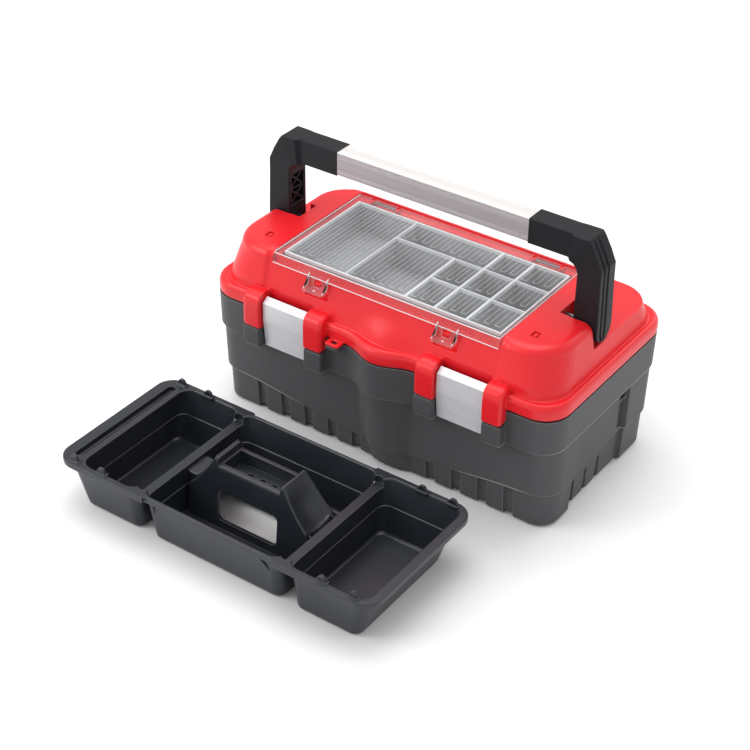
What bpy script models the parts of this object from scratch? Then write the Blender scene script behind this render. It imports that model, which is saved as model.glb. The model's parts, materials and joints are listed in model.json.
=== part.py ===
"""Toolbox with a lid organizer, two latches, a folding handle and a lift-out tray, shown beside it.

Metres, +Z up. The origin is on the floor at the middle of the box's footprint, +X runs to
the right along the front and -Y points out of the front. Lengths come from the constants.
"""
import math

import bmesh
import bpy

# ---------------------------------------------------------------- driving dimensions
GAP = 0.0003                # between pieces that touch
CORNER_STEPS = 6            # facets in each rounded corner
PARTING_Z = 0.1500          # where the lid meets the base
LID_TOP_Z = 0.2220
SHELF_Z = 0.1920            # lowered part of the lid that takes the folded handle
PLATFORM_X = 0.1815         # half-width of the raised middle between the handle's arms
PLATFORM_BACK = 0.0660
CHANNEL_FRONT = -0.0270
BULGE_X = 0.0090            # middle of the rounded swelling in the front
BULGE_HALF = 0.0460

# half length, front, back, corner radius and swelling of each level: (z, ...), outside of the base
BASE_LEVELS = (
    (0.0000, 0.2205, 0.1065, 0.1105, 0.022, 0.004, 0.000),
    (0.0040, 0.2240, 0.1100, 0.1135, 0.024, 0.006, 0.000),
    (0.0455, 0.2255, 0.1115, 0.1145, 0.026, 0.008, 0.022),
    (0.0470, 0.2275, 0.1155, 0.1175, 0.027, 0.011, 0.022),
    (0.1055, 0.2285, 0.1180, 0.1190, 0.028, 0.017, 0.000),
    (0.1075, 0.2295, 0.1235, 0.1235, 0.030, 0.014, 0.000),
    (PARTING_Z, 0.2305, 0.1245, 0.1245, 0.031, 0.0135, 0.000),
)
BASE_CAVITY = (
    (0.0035, 0.2130, 0.0990, 0.1030, 0.018, 0.000, 0.000),
    (0.0400, 0.2153, 0.1020, 0.1060, 0.020, 0.003, 0.000),
    (0.1060, 0.2180, 0.1140, 0.1155, 0.024, 0.010, 0.000),
    (0.1120, 0.2240, 0.1150, 0.1160, 0.024, 0.010, 0.000),
    (0.1600, 0.2257, 0.1165, 0.1165, 0.025, 0.010, 0.000),
)
LID_LEVELS = (
    (PARTING_Z + GAP, 0.2290, 0.1230, 0.1230, 0.031, 0.0140, 0.0),
    (0.1545, 0.2310, 0.1252, 0.1252, 0.033, 0.0135, 0.0),
    (0.1650, 0.2310, 0.1252, 0.1252, 0.033, 0.0125, 0.0),
    (0.1690, 0.2290, 0.1232, 0.1232, 0.033, 0.0110, 0.0),
    (0.1705, 0.2225, 0.1180, 0.1180, 0.036, 0.0, 0.0),
    (0.2050, 0.2165, 0.1085, 0.1100, 0.042, 0.0, 0.0),
    (0.2165, 0.2135, 0.1045, 0.1060, 0.040, 0.0, 0.0),
    (0.2205, 0.2085, 0.0995, 0.1010, 0.036, 0.0, 0.0),
    (LID_TOP_Z, 0.2025, 0.0935, 0.0950, 0.030, 0.0, 0.0),
)
LID_CAVITY = (
    (0.1400, 0.2200, 0.1125, 0.1125, 0.028, 0.008, 0.0),
    (0.1680, 0.2190, 0.1125, 0.1125, 0.030, 0.006, 0.0),
    (0.1720, 0.2165, 0.1110, 0.1110, 0.033, 0.000, 0.0),
    (0.2050, 0.2130, 0.1050, 0.1065, 0.038, 0.0, 0.0),
    (0.2185, 0.2050, 0.0960, 0.0975, 0.032, 0.0, 0.0),
)

RECESS_PITCH = 0.034        # upright recesses round the foot of the base
RECESS_COUNT = 5
RECESS_X = (-0.0020, 0.0095)            # ends of a recess, from its station
RECESS_TOP = 0.0452
FOOT_FRONT, FOOT_BACK = -0.1068, 0.1108

SIDE_PANEL_Y = (-0.0630, 0.0520)        # sunk middle of each end of the base
SIDE_PANEL_TOP = 0.1050
SIDE_SLOTS = (-0.0545, -0.0265, 0.0015)
SIDE_SLOT_WIDTH = 0.0075
SIDE_SLOT_TOP = 0.0330
SIDE_POCKET_Y, SIDE_POCKET_Z = (0.0400, 0.0505), (0.0470, 0.0990)

HINGE_Y, HINGE_Z = 0.1310, 0.1500       # lid hinge
HINGE_STATION = 0.1200
HINGE_RADIUS = 0.0045

LATCH_X = 0.11735           # middle of each latch
LATCH_HALF = 0.0299
LATCH_PIVOT = (-0.1243, 0.1635)         # y, z
LUG_INNER = (0.0620, 0.0862)
LUG_OUTER = (0.1488, 0.1720)
PADLOCK_X = -0.0470

HANDLE_PIVOT = (-0.0090, 0.2105)        # y, z
ARM_INNER, ARM_OUTER = 0.1885, 0.2185
ARM_FRONT, ARM_BACK = -0.0250, 0.0070
SLEEVE_END = 0.1250
SLEEVE_Y = (-0.0203, 0.0057)
BAR_Z = (0.2871, 0.3173)
HANDLE_PIN_RADIUS = 0.0030

COVER_X = 0.1489
COVER_BACK = 0.0600
COVER_Z = (0.2204, 0.2222)
COVER_HINGE = (0.0565, 0.2190)          # y, z
COVER_STATION = 0.1100
TONGUE_X = 0.0850

BIN_X = 0.1425
BIN_Y = (-0.0940, 0.0495)
BIN_Z = (0.1798, 0.2190)
BIN_WALL = 0.0016
BIN_COLUMNS = (-0.0595, 0.0195, 0.0578, 0.0980)     # walls running front to back
BIN_ROWS = (-0.0430, 0.0058)                        # walls running left to right

TRAY_X, TRAY_Y = -0.0295, -0.2845       # middle of the tray, on the floor in front
TRAY_RIM = (0.2105, 0.0955)
TRAY_RIM_Z = (0.0555, 0.0630)
EAR_X = (0.1470, 0.1860)


# ---------------------------------------------------------------- scene and helpers
for old in list(bpy.data.objects):
    bpy.data.objects.remove(old, do_unlink=True)

parts = bpy.data.collections.new("toolbox_with_tray")
cutters = bpy.data.collections.new("cutters")
bpy.context.scene.collection.children.link(parts)
bpy.context.scene.collection.children.link(cutters)
cutters.hide_render = True


def material(name, colour, roughness, metallic=0.0):
    made = bpy.data.materials.new(name)
    made.use_nodes = True
    shader = made.node_tree.nodes["Principled BSDF"]
    shader.inputs["Base Color"].default_value = (*colour, 1.0)
    shader.inputs["Roughness"].default_value = roughness
    shader.inputs["Metallic"].default_value = metallic
    return made


def shape(name, bm, finish=None):
    """Turns a bmesh into a sub-part, or into a hidden cutter where it has no finish."""
    bmesh.ops.recalc_face_normals(bm, faces=bm.faces)
    if bm.calc_volume(signed=True) < 0:
        bmesh.ops.reverse_faces(bm, faces=bm.faces)
    mesh = bpy.data.meshes.new(name)
    bm.to_mesh(mesh)
    bm.free()
    made = bpy.data.objects.new(name, mesh)
    if finish:
        mesh.materials.append(finish)
        parts.objects.link(made)
    else:
        cutters.objects.link(made)
        made.hide_render = True
        made.display_type = "WIRE"
    return made


def box(name, x, y, z, finish=None):
    """A block between the two ends given for each axis."""
    bm = bmesh.new()
    bmesh.ops.create_cube(bm, size=1.0)
    ends = (sorted(x), sorted(y), sorted(z))
    for vert in bm.verts:
        for axis, (low, high) in enumerate(ends):
            vert.co[axis] = low if vert.co[axis] < 0 else high
    return shape(name, bm, finish)


def boxes(name, blocks):
    """One cutter made of several blocks that do not touch."""
    bm = bmesh.new()
    for x, y, z in blocks:
        ends = (sorted(x), sorted(y), sorted(z))
        for vert in bmesh.ops.create_cube(bm, size=1.0)["verts"]:
            for axis, (low, high) in enumerate(ends):
                vert.co[axis] = low if vert.co[axis] < 0 else high
    return shape(name, bm)


def rod(name, axis, start, end, at, radius, finish=None, sides=16):
    """A round bar along X, Y or Z; at holds its other two coordinates in order."""
    bm = bmesh.new()
    bmesh.ops.create_cone(
        bm, cap_ends=True, segments=sides, radius1=radius, radius2=radius, depth=1.0
    )
    low, high = sorted((start, end))
    for vert in bm.verts:
        along = low + (vert.co.z + 0.5) * (high - low)
        first, second = at[0] + vert.co.x, at[1] + vert.co.y
        vert.co = {
            "X": (along, first, second),
            "Y": (first, along, second),
            "Z": (first, second, along),
        }[axis]
    return shape(name, bm, finish)


def slab(name, outline, plane, low, high, finish=None):
    """A flat outline given a thickness along the axis that its plane leaves out."""
    bm = bmesh.new()
    order = {"YZ": (2, 0, 1), "XZ": (0, 2, 1), "XY": (0, 1, 2)}[plane]
    verts = []
    for first, second in outline:
        triple = (first, second, low)
        verts.append(bm.verts.new([triple[k] for k in order]))
    face = bm.faces.new(verts)
    grown = bmesh.ops.extrude_face_region(bm, geom=[face])["geom"]
    axis = order.index(2)
    for item in grown:
        if isinstance(item, bmesh.types.BMVert):
            item.co[axis] = high
    return shape(name, bm, finish)


def ring(level, middle_x=0.0, middle_y=0.0):
    """One level of a rounded box, anticlockwise; its front may swell and its edge may dip."""
    z, half_x, front, back, radius, swell, dip = level
    points = []
    corners = (
        (half_x - radius, radius - front, -90),
        (half_x - radius, back - radius, 0),
        (radius - half_x, back - radius, 90),
        (radius - half_x, radius - front, 180),
    )
    for cx, cy, start in corners:
        for step in range(CORNER_STEPS + 1):
            angle = math.radians(start + 90.0 * step / CORNER_STEPS)
            points.append((cx + radius * math.cos(angle), cy + radius * math.sin(angle)))
    swell_steps = 12 if swell or dip else 0
    for step in range(swell_steps + 1 if swell_steps else 0):
        part = step / swell_steps * 2.0 - 1.0
        rise = math.cos(part * math.pi / 2.0) ** 2
        points.append((BULGE_X + part * BULGE_HALF, -front - swell * rise))
    return [
        (middle_x + x, middle_y + y, z - dip * max(0.0, 1.0 - abs(x) / (half_x - radius)))
        for x, y in points
    ]


def loft(name, rings, finish=None):
    """A closed skin through rings that have the same number of points."""
    bm = bmesh.new()
    rows = [[bm.verts.new(point) for point in points] for points in rings]
    for lower, upper in zip(rows, rows[1:]):
        count = len(lower)
        for k in range(count):
            bm.faces.new((lower[k], lower[(k + 1) % count], upper[(k + 1) % count], upper[k]))
    bm.faces.new(rows[0][::-1])
    bm.faces.new(rows[-1])
    bmesh.ops.triangulate(bm, faces=[face for face in bm.faces if len(face.verts) == 4])
    return shape(name, bm, finish)


def swollen(levels):
    """Rings of the levels, with the points of the swelling kept also where it is flat."""
    return [ring(level[:5] + (level[5] or 1e-7,) + level[6:]) for level in levels]


def tub(name, low_x, low_y, low_z, high_x, high_y, high_z, low_radius, high_radius):
    """A tapering rounded box between two rectangles, each given by its ends."""
    rings = []
    for (x0, x1), (y0, y1), z, radius in (
        (low_x, low_y, low_z, low_radius),
        (high_x, high_y, high_z, high_radius),
    ):
        half, depth = (x1 - x0) / 2, (y1 - y0) / 2
        rings.append(
            ring((z, half, depth, depth, radius, 0.0, 0.0), (x0 + x1) / 2, (y0 + y1) / 2)
        )
    return loft(name, rings)


def boolean(target, other, operation):
    added = target.modifiers.new(other.name, "BOOLEAN")
    added.operation = operation
    added.object = other
    added.solver = "EXACT"
    return target


def cut(target, other):
    return boolean(target, other, "DIFFERENCE")


def join(target, other):
    return boolean(target, other, "UNION")


def sides(function):
    """Calls the function once for the left side and once for the right."""
    for side, word in ((-1, "left"), (1, "right")):
        function(side, word)


dark_grey = material("base_plastic", (0.075, 0.078, 0.085), 0.48)
red = material("lid_plastic", (0.75, 0.016, 0.022), 0.38)
black = material("handle_plastic", (0.018, 0.019, 0.023), 0.45)
slate = material("tray_plastic", (0.030, 0.034, 0.042), 0.35)
silver = material("bar_aluminium", (0.86, 0.83, 0.81), 0.33, 1.0)
satin = material("latch_aluminium", (0.72, 0.73, 0.75), 0.30, 1.0)
steel = material("pin_steel", (0.45, 0.46, 0.48), 0.35, 1.0)
clear = material("cover_plastic", (0.85, 0.87, 0.88), 0.08)
milky = material("bin_plastic", (0.62, 0.63, 0.66), 0.40)


# ---------------------------------------------------------------- base
def make_base():
    base = loft("base_shell", swollen(BASE_LEVELS), dark_grey)
    cut(base, loft("base_cavity", swollen(BASE_CAVITY)))

    recesses, panels, sunk = [], [], []
    for k in range(-RECESS_COUNT, RECESS_COUNT + 1):
        span = (k * RECESS_PITCH + RECESS_X[0], k * RECESS_PITCH + RECESS_X[1])
        if abs(span[0] - 0.0100) > 0.0240:
            recesses.append((span, (-0.1300, FOOT_FRONT), (-0.01, RECESS_TOP)))
        recesses.append((span, (FOOT_BACK, 0.1300), (-0.01, RECESS_TOP)))
    for side in (-1, 1):
        panels.append(((side * 0.2200, side * 0.24), SIDE_PANEL_Y, (-0.01, 0.0462)))
        panels.append(((side * 0.2232, side * 0.24), SIDE_PANEL_Y, (0.0462, SIDE_PANEL_TOP)))
        sunk.append(((side * 0.2200, side * 0.24), SIDE_POCKET_Y, SIDE_POCKET_Z))
        for y in SIDE_SLOTS:
            span = (y, y + SIDE_SLOT_WIDTH)
            sunk.append(((side * 0.2175, side * 0.24), span, (-0.01, SIDE_SLOT_TOP)))
    cut(base, boxes("foot_recesses", recesses))
    cut(base, boxes("side_panels_low", panels[0::2]))
    cut(base, boxes("side_panels_high", panels[1::2]))
    cut(base, boxes("side_slots", sunk))

    for side, word in ((-1, "left"), (1, "right")):
        for span in (LUG_INNER, LUG_OUTER):
            block = [(-0.1180, 0.1060), (-0.1345, 0.1060), (-0.1360, 0.1080), (-0.1360, 0.1326)]
            block.append((-0.1180, 0.1326))
            ends = sorted((side * span[0], side * span[1]))
            join(base, slab(f"base_block_{word}_{span[0]}", block, "YZ", *ends))
        pocket = (side * (LATCH_X - 0.0308), side * (LATCH_X + 0.0308))
        cut(base, box(f"base_pocket_{word}", pocket, (-0.16, -0.1205), (0.1080, 0.16)))
        catch = (side * (LATCH_X - 0.0200), side * (LATCH_X + 0.0200))
        join(base, box(f"catch_ledge_{word}", catch, (-0.1221, -0.1190), (0.1180, 0.1220)))
        join(base, box(f"tray_ledge_{word}", (side * 0.205, side * 0.2255), (-0.06, 0.06),
                       (0.0880, 0.0920)))
        for start, end in ((-0.0225, -0.0125), (0.0125, 0.0225)):
            middle = side * HINGE_STATION
            span = (middle + start, middle + end)
            join(base, box(f"base_web_{word}_{start}", span, (0.1190, HINGE_Y), (0.1460, 0.1492)))
            join(base, rod(f"base_knuckle_{word}_{start}", "X", *span, (HINGE_Y, HINGE_Z),
                           HINGE_RADIUS))
        bore = (side * HINGE_STATION - 0.03, side * HINGE_STATION + 0.03)
        cut(base, rod(f"base_bore_{word}", "X", *bore, (HINGE_Y, HINGE_Z), 0.0022))

    eye = (PADLOCK_X - 0.0090, PADLOCK_X + 0.0090)
    join(base, box("base_eye", eye, (-0.1365, -0.1200), (0.1460, PARTING_Z - GAP)))
    cut(base, box("base_eye_hole", (PADLOCK_X - 0.004, PADLOCK_X + 0.004), (-0.1335, -0.1275),
                  (0.13, 0.16)))


# ---------------------------------------------------------------- lid
def platform_outline(inset):
    """What is lowered round the raised platform: the bar's shelf and the arms' channels."""
    edge, back = PLATFORM_X - inset, PLATFORM_BACK - inset
    front, far = CHANNEL_FRONT - inset * 0.3, 0.26
    half = [(edge, front), (edge, back - 0.021), (edge - 0.0215, back)]
    left = [(-x, y) for x, y in half]
    return [(-far, front)] + left + half[::-1] + [(far, front), (far, 0.16), (-far, 0.16)]


def make_lid():
    lid = loft("lid_shell", swollen(LID_LEVELS), red)

    core = loft("lid_core", swollen(LID_CAVITY))
    cut(core, box("core_under_bin", (-0.1545, 0.1545), (-0.13, 0.0665), (0.1735, 0.25)))
    cut(core, slab("core_under_shelf", platform_outline(0.0115), "XY", SHELF_Z - 0.0035, 0.25))
    cut(lid, core)

    cut(lid, slab("handle_shelf", platform_outline(0.0), "XY", SHELF_Z, 0.25))
    cut(lid, box("bin_well", (-0.1450, 0.1450), (-0.0985, 0.0545), (0.1795, 0.25)))
    cut(lid, box("cover_recess", (-0.1502, 0.1502), (-0.1040, 0.0625), (0.2165, 0.25)))
    cut(lid, box("skirt_recess", (-0.1502, 0.1502), (-0.15, -0.1010), (0.2085, 0.25)))

    for side, word in ((-1, "left"), (1, "right")):
        for span in (LUG_INNER, LUG_OUTER):
            lug = [(-0.1252, 0.1330), (-0.1360, 0.1330), (-0.1362, 0.1640), (-0.1345, 0.1705)]
            lug += [(-0.1300, 0.1755), (-0.1230, 0.1775), (-0.1140, 0.1775), (-0.1140, 0.1600)]
            lug += [(-0.1180, 0.1503), (-0.1252, 0.1503)]
            ends = sorted((side * span[0], side * span[1]))
            join(lid, slab(f"lid_lug_{word}_{span[0]}", lug, "YZ", *ends))
        pocket = (side * (LATCH_X - 0.0308), side * (LATCH_X + 0.0308))
        cut(lid, box(f"lid_pocket_{word}", pocket, (-0.16, -0.1150), (0.14, 0.1800)))
        bore = (side * 0.0827, side * 0.1523)
        cut(lid, rod(f"latch_bore_{word}", "X", *bore, LATCH_PIVOT, 0.0019, sides=12))

        middle = side * HINGE_STATION
        span = (middle - 0.0120, middle + 0.0120)
        join(lid, box(f"lid_web_{word}", span, (0.1190, HINGE_Y), (0.1508, 0.1545)))
        join(lid, rod(f"lid_knuckle_{word}", "X", *span, (HINGE_Y, HINGE_Z), HINGE_RADIUS))
        cut(lid, rod(f"lid_bore_{word}", "X", middle - 0.02, middle + 0.02,
                     (HINGE_Y, HINGE_Z), 0.0022))

        slot = (side * 0.1730, side * 0.1860)
        cut(lid, box(f"arm_slot_{word}", slot, (-0.0260, 0.0060), (0.2030, 0.25)))
        cut(lid, rod(f"handle_bore_{word}", "X", side * 0.1600, side * 0.19, HANDLE_PIVOT,
                     HANDLE_PIN_RADIUS + GAP))
        mark = (side * 0.1710, side * 0.1790)
        cut(lid, box(f"stop_mark_{word}", mark, (-0.0830, -0.0725), (0.2195, 0.25)))

        tongue = (side * (TONGUE_X - 0.0155), side * (TONGUE_X + 0.0155))
        cut(lid, box(f"tongue_pocket_{word}", tongue, (-0.15, -0.1040), (0.1870, 0.2100)))
        nose = (side * (TONGUE_X - 0.004), side * (TONGUE_X + 0.004))
        join(lid, box(f"catch_nose_{word}", nose, (-0.1095, -0.1020), (0.2015, 0.2050)))

        station = side * COVER_STATION
        cut(lid, box(f"knuckle_pocket_{word}", (station - 0.0152, station + 0.0152),
                     (0.0530, 0.0622), (0.2145, 0.25)))
        for start, end in ((-0.0205, -0.0153), (0.0153, 0.0205)):
            span = (station + start, station + end)
            join(lid, box(f"cover_lug_{word}_{start}", span, (0.0540, 0.0589), (0.2140, 0.2190)))
            join(lid, rod(f"cover_ear_{word}_{start}", "X", *span, COVER_HINGE, 0.0026, sides=12))
        cut(lid, rod(f"cover_bore_{word}", "X", station - 0.03, station + 0.03, COVER_HINGE,
                     0.0014, sides=12))

    eye = (PADLOCK_X - 0.0090, PADLOCK_X + 0.0090)
    join(lid, box("lid_eye", eye, (-0.1365, -0.1180), (PARTING_Z + GAP, 0.1535)))
    cut(lid, box("lid_eye_hole", (PADLOCK_X - 0.004, PADLOCK_X + 0.004), (-0.1335, -0.1275),
                 (0.14, 0.16)))


# ---------------------------------------------------------------- hinge pins
def make_pins(side, word):
    middle = side * HINGE_STATION
    rod(f"lid_hinge_pin_{word}", "X", middle - 0.0222, middle + 0.0222, (HINGE_Y, HINGE_Z),
        0.0019, steel, sides=12)
    rod(f"handle_pin_{word}", "X", side * 0.1650, side * 0.2122, HANDLE_PIVOT,
        HANDLE_PIN_RADIUS, steel)
    rod(f"latch_pin_{word}", "X", side * 0.0832, side * 0.1518, LATCH_PIVOT, 0.0016, steel,
        sides=12)
    station = side * COVER_STATION
    rod(f"cover_pin_{word}", "X", station - 0.0203, station + 0.0203, COVER_HINGE, 0.0011,
        steel, sides=12)


# ---------------------------------------------------------------- latches
def make_latch(side, word):
    ends = sorted((side * (LATCH_X - LATCH_HALF), side * (LATCH_X + LATCH_HALF)))
    outer = [(-0.1211, 0.1716), (-0.1295, 0.1664), (-0.1300, 0.1440), (-0.1262, 0.1085)]
    inner = [(-0.1249, 0.1085), (-0.1287, 0.1440), (-0.1283, 0.1656), (-0.1207, 0.1703)]
    slab(f"latch_plate_{word}", outer + inner, "YZ", *ends, satin)

    ends = sorted((side * (LATCH_X - 0.0290), side * (LATCH_X + 0.0290)))
    face = [(-0.1245, 0.1100), (-0.1283, 0.1440), (-0.1278, 0.1630), (-0.1252, 0.1630)]
    face += [(-0.1256, 0.1440), (-0.1236, 0.1250), (-0.1226, 0.1165), (-0.1212, 0.1165)]
    face += [(-0.1212, 0.1125), (-0.1226, 0.1100)]
    carrier = slab(f"latch_carrier_{word}", face, "YZ", *ends, black)
    join(carrier, rod(f"carrier_barrel_{word}", "X", *ends, LATCH_PIVOT, 0.0034))
    cut(carrier, rod(f"carrier_bore_{word}", "X", side * 0.07, side * 0.17, LATCH_PIVOT, 0.0019,
                     sides=12))


# ---------------------------------------------------------------- carrying handle
def arm_outline(side):
    """Seen from the front: sleeve, two-step corner, leg and the round end at the pivot."""
    pivot_z = HANDLE_PIVOT[1]
    points = [
        (SLEEVE_END, BAR_Z[0]), (0.1745, BAR_Z[0]), (0.1840, 0.2835), (ARM_INNER, 0.2760),
        (ARM_INNER, pivot_z - 0.0160), (ARM_OUTER, pivot_z - 0.0160), (0.2168, 0.2860),
        (0.2100, 0.3000), (0.1995, BAR_Z[1]), (SLEEVE_END, BAR_Z[1]),
    ]
    return [(side * x, z) for x, z in points]


def make_arm(side, word):
    arm = slab(f"handle_arm_{word}", arm_outline(side), "XZ", ARM_FRONT, ARM_BACK, black)
    leg_x = (side * 0.05, side * 0.23)
    pivot_y, pivot_z = HANDLE_PIVOT
    reach = pivot_z - 0.05
    # the sleeve is thinner from front to back than the leg
    cut(arm, box(f"sleeve_face_{word}", (side * 0.10, side * 0.1780), (-0.05, SLEEVE_Y[0]),
                 (0.25, 0.35)))
    cut(arm, box(f"sleeve_rear_{word}", (side * 0.10, side * 0.1780), (SLEEVE_Y[1], 0.05),
                 (0.25, 0.35)))
    # the leg's lower end is round about the pivot
    corner = box(f"arm_round_{word}", leg_x, (-0.06, 0.05), (reach, pivot_z))
    cut(corner, rod(f"arm_round_keep_{word}", "X", side * 0.04, side * 0.24, HANDLE_PIVOT,
                    0.0160, sides=32))
    cut(arm, corner)
    # the leg is hollow from its inner side, with a cross rib
    cut(arm, boxes(f"arm_hollow_{word}", [
        ((side * 0.18, side * 0.2135), (-0.0210, 0.0030), (0.2290, 0.2460)),
        ((side * 0.18, side * 0.2135), (-0.0210, 0.0030), (0.2490, 0.2680)),
    ]))
    cut(arm, rod(f"arm_bore_{word}", "X", side * 0.18, side * 0.2130, HANDLE_PIVOT,
                 HANDLE_PIN_RADIUS + GAP))
    # a tenon goes into the hollow bar
    join(arm, box(f"arm_tenon_{word}", (side * 0.1000, side * 0.1300), (-0.0173, 0.0027),
                  (0.2903, 0.3141)))


def make_bar():
    end = SLEEVE_END - GAP
    bar = box("handle_bar", (-end, end), (SLEEVE_Y[0] + 0.0008, SLEEVE_Y[1] - 0.0008),
              (BAR_Z[0] + 0.0008, BAR_Z[1] - 0.0008), silver)
    edges = bar.modifiers.new("edges", "BEVEL")
    edges.width = 0.0012
    edges.segments = 1
    cut(bar, box("bar_hollow", (-0.2, 0.2), (-0.0177, 0.0031), (0.2899, 0.3145)))


# ---------------------------------------------------------------- organizer
def make_bin():
    insert = box("organizer_bin", (-BIN_X, BIN_X), BIN_Y, BIN_Z, milky)
    wall = BIN_WALL
    left, first, second, third = BIN_COLUMNS
    front, row, back = BIN_Y[0], BIN_ROWS, BIN_Y[1]
    cells = [
        (-BIN_X, left, front, back),
        (left, first, front, row[1]),
        (left, second, row[1], back),
        (second, third, row[1], back),
        (third, BIN_X, row[1], back),
    ]
    for x0, x1 in ((first, second), (second, third), (third, BIN_X)):
        cells.append((x0, x1, front, row[0]))
        cells.append((x0, x1, row[0], row[1]))

    def inset(low, high, edge_low, edge_high):
        return (
            low + (wall if low == edge_low else wall / 2),
            high - (wall if high == edge_high else wall / 2),
        )

    cut(insert, boxes("bin_cells", [
        (inset(x0, x1, -BIN_X, BIN_X), inset(y0, y1, front, back), (BIN_Z[0] + wall, 0.25))
        for x0, x1, y0, y1 in cells
    ]))


def make_cover():
    top, under = COVER_Z[1], COVER_Z[0]
    skirt = [(-0.1005, top), (-0.1035, 0.2216), (-0.1058, 0.2198), (-0.1072, 0.2170)]
    skirt += [(-0.1089, 0.2091), (-0.1071, 0.2091), (-0.1055, 0.2165), (-0.1043, 0.2188)]
    skirt += [(-0.1027, 0.2200), (-0.1005, under)]
    outline = [(COVER_BACK, top)] + skirt + [(COVER_BACK, under)]
    cover = slab("organizer_cover", outline, "YZ", -COVER_X, COVER_X, clear)
    for side, word in ((-1, "left"), (1, "right")):
        tongue = [(-0.1055, 0.2165), (-0.1072, 0.2170), (-0.1108, 0.1990), (-0.1215, 0.1985)]
        tongue += [(-0.1215, 0.1965), (-0.1090, 0.1965)]
        span = sorted((side * (TONGUE_X - 0.014), side * (TONGUE_X + 0.014)))
        join(cover, slab(f"tongue_{word}", tongue, "YZ", *span))
        window = (side * (TONGUE_X - 0.0055), side * (TONGUE_X + 0.0055))
        cut(cover, box(f"tongue_window_{word}", window, (-0.13, -0.1000), (0.2000, 0.2100)))
        station = side * COVER_STATION
        join(cover, rod(f"cover_knuckle_{word}", "X", station - 0.0148, station + 0.0148,
                        COVER_HINGE, 0.0024, sides=12))
        cut(cover, boxes(f"cover_notches_{word}", [
            ((station + start, station + end), (0.0530, 0.07), (0.21, 0.23))
            for start, end in ((-0.0211, -0.0150), (0.0150, 0.0211))
        ]))
        cut(cover, rod(f"cover_knuckle_bore_{word}", "X", station - 0.02, station + 0.02,
                       COVER_HINGE, 0.0014, sides=12))


# ---------------------------------------------------------------- tray
def tray_tub(name, x0, x1, wall, top_x0, top_x1):
    """A tub of the tray: the outside where wall is 0, else the hollow inside it."""
    low_y = (TRAY_Y - 0.0800 + wall, TRAY_Y + 0.0705 - wall)
    high_y = (TRAY_Y - 0.0880 + wall, TRAY_Y + 0.0880 - wall)
    return tub(name, (TRAY_X + x0 + wall, TRAY_X + x1 - wall), low_y, wall,
               (TRAY_X + top_x0 + wall, TRAY_X + top_x1 - wall), high_y,
               0.0660 if wall else 0.0590, 0.010, 0.013)


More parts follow.
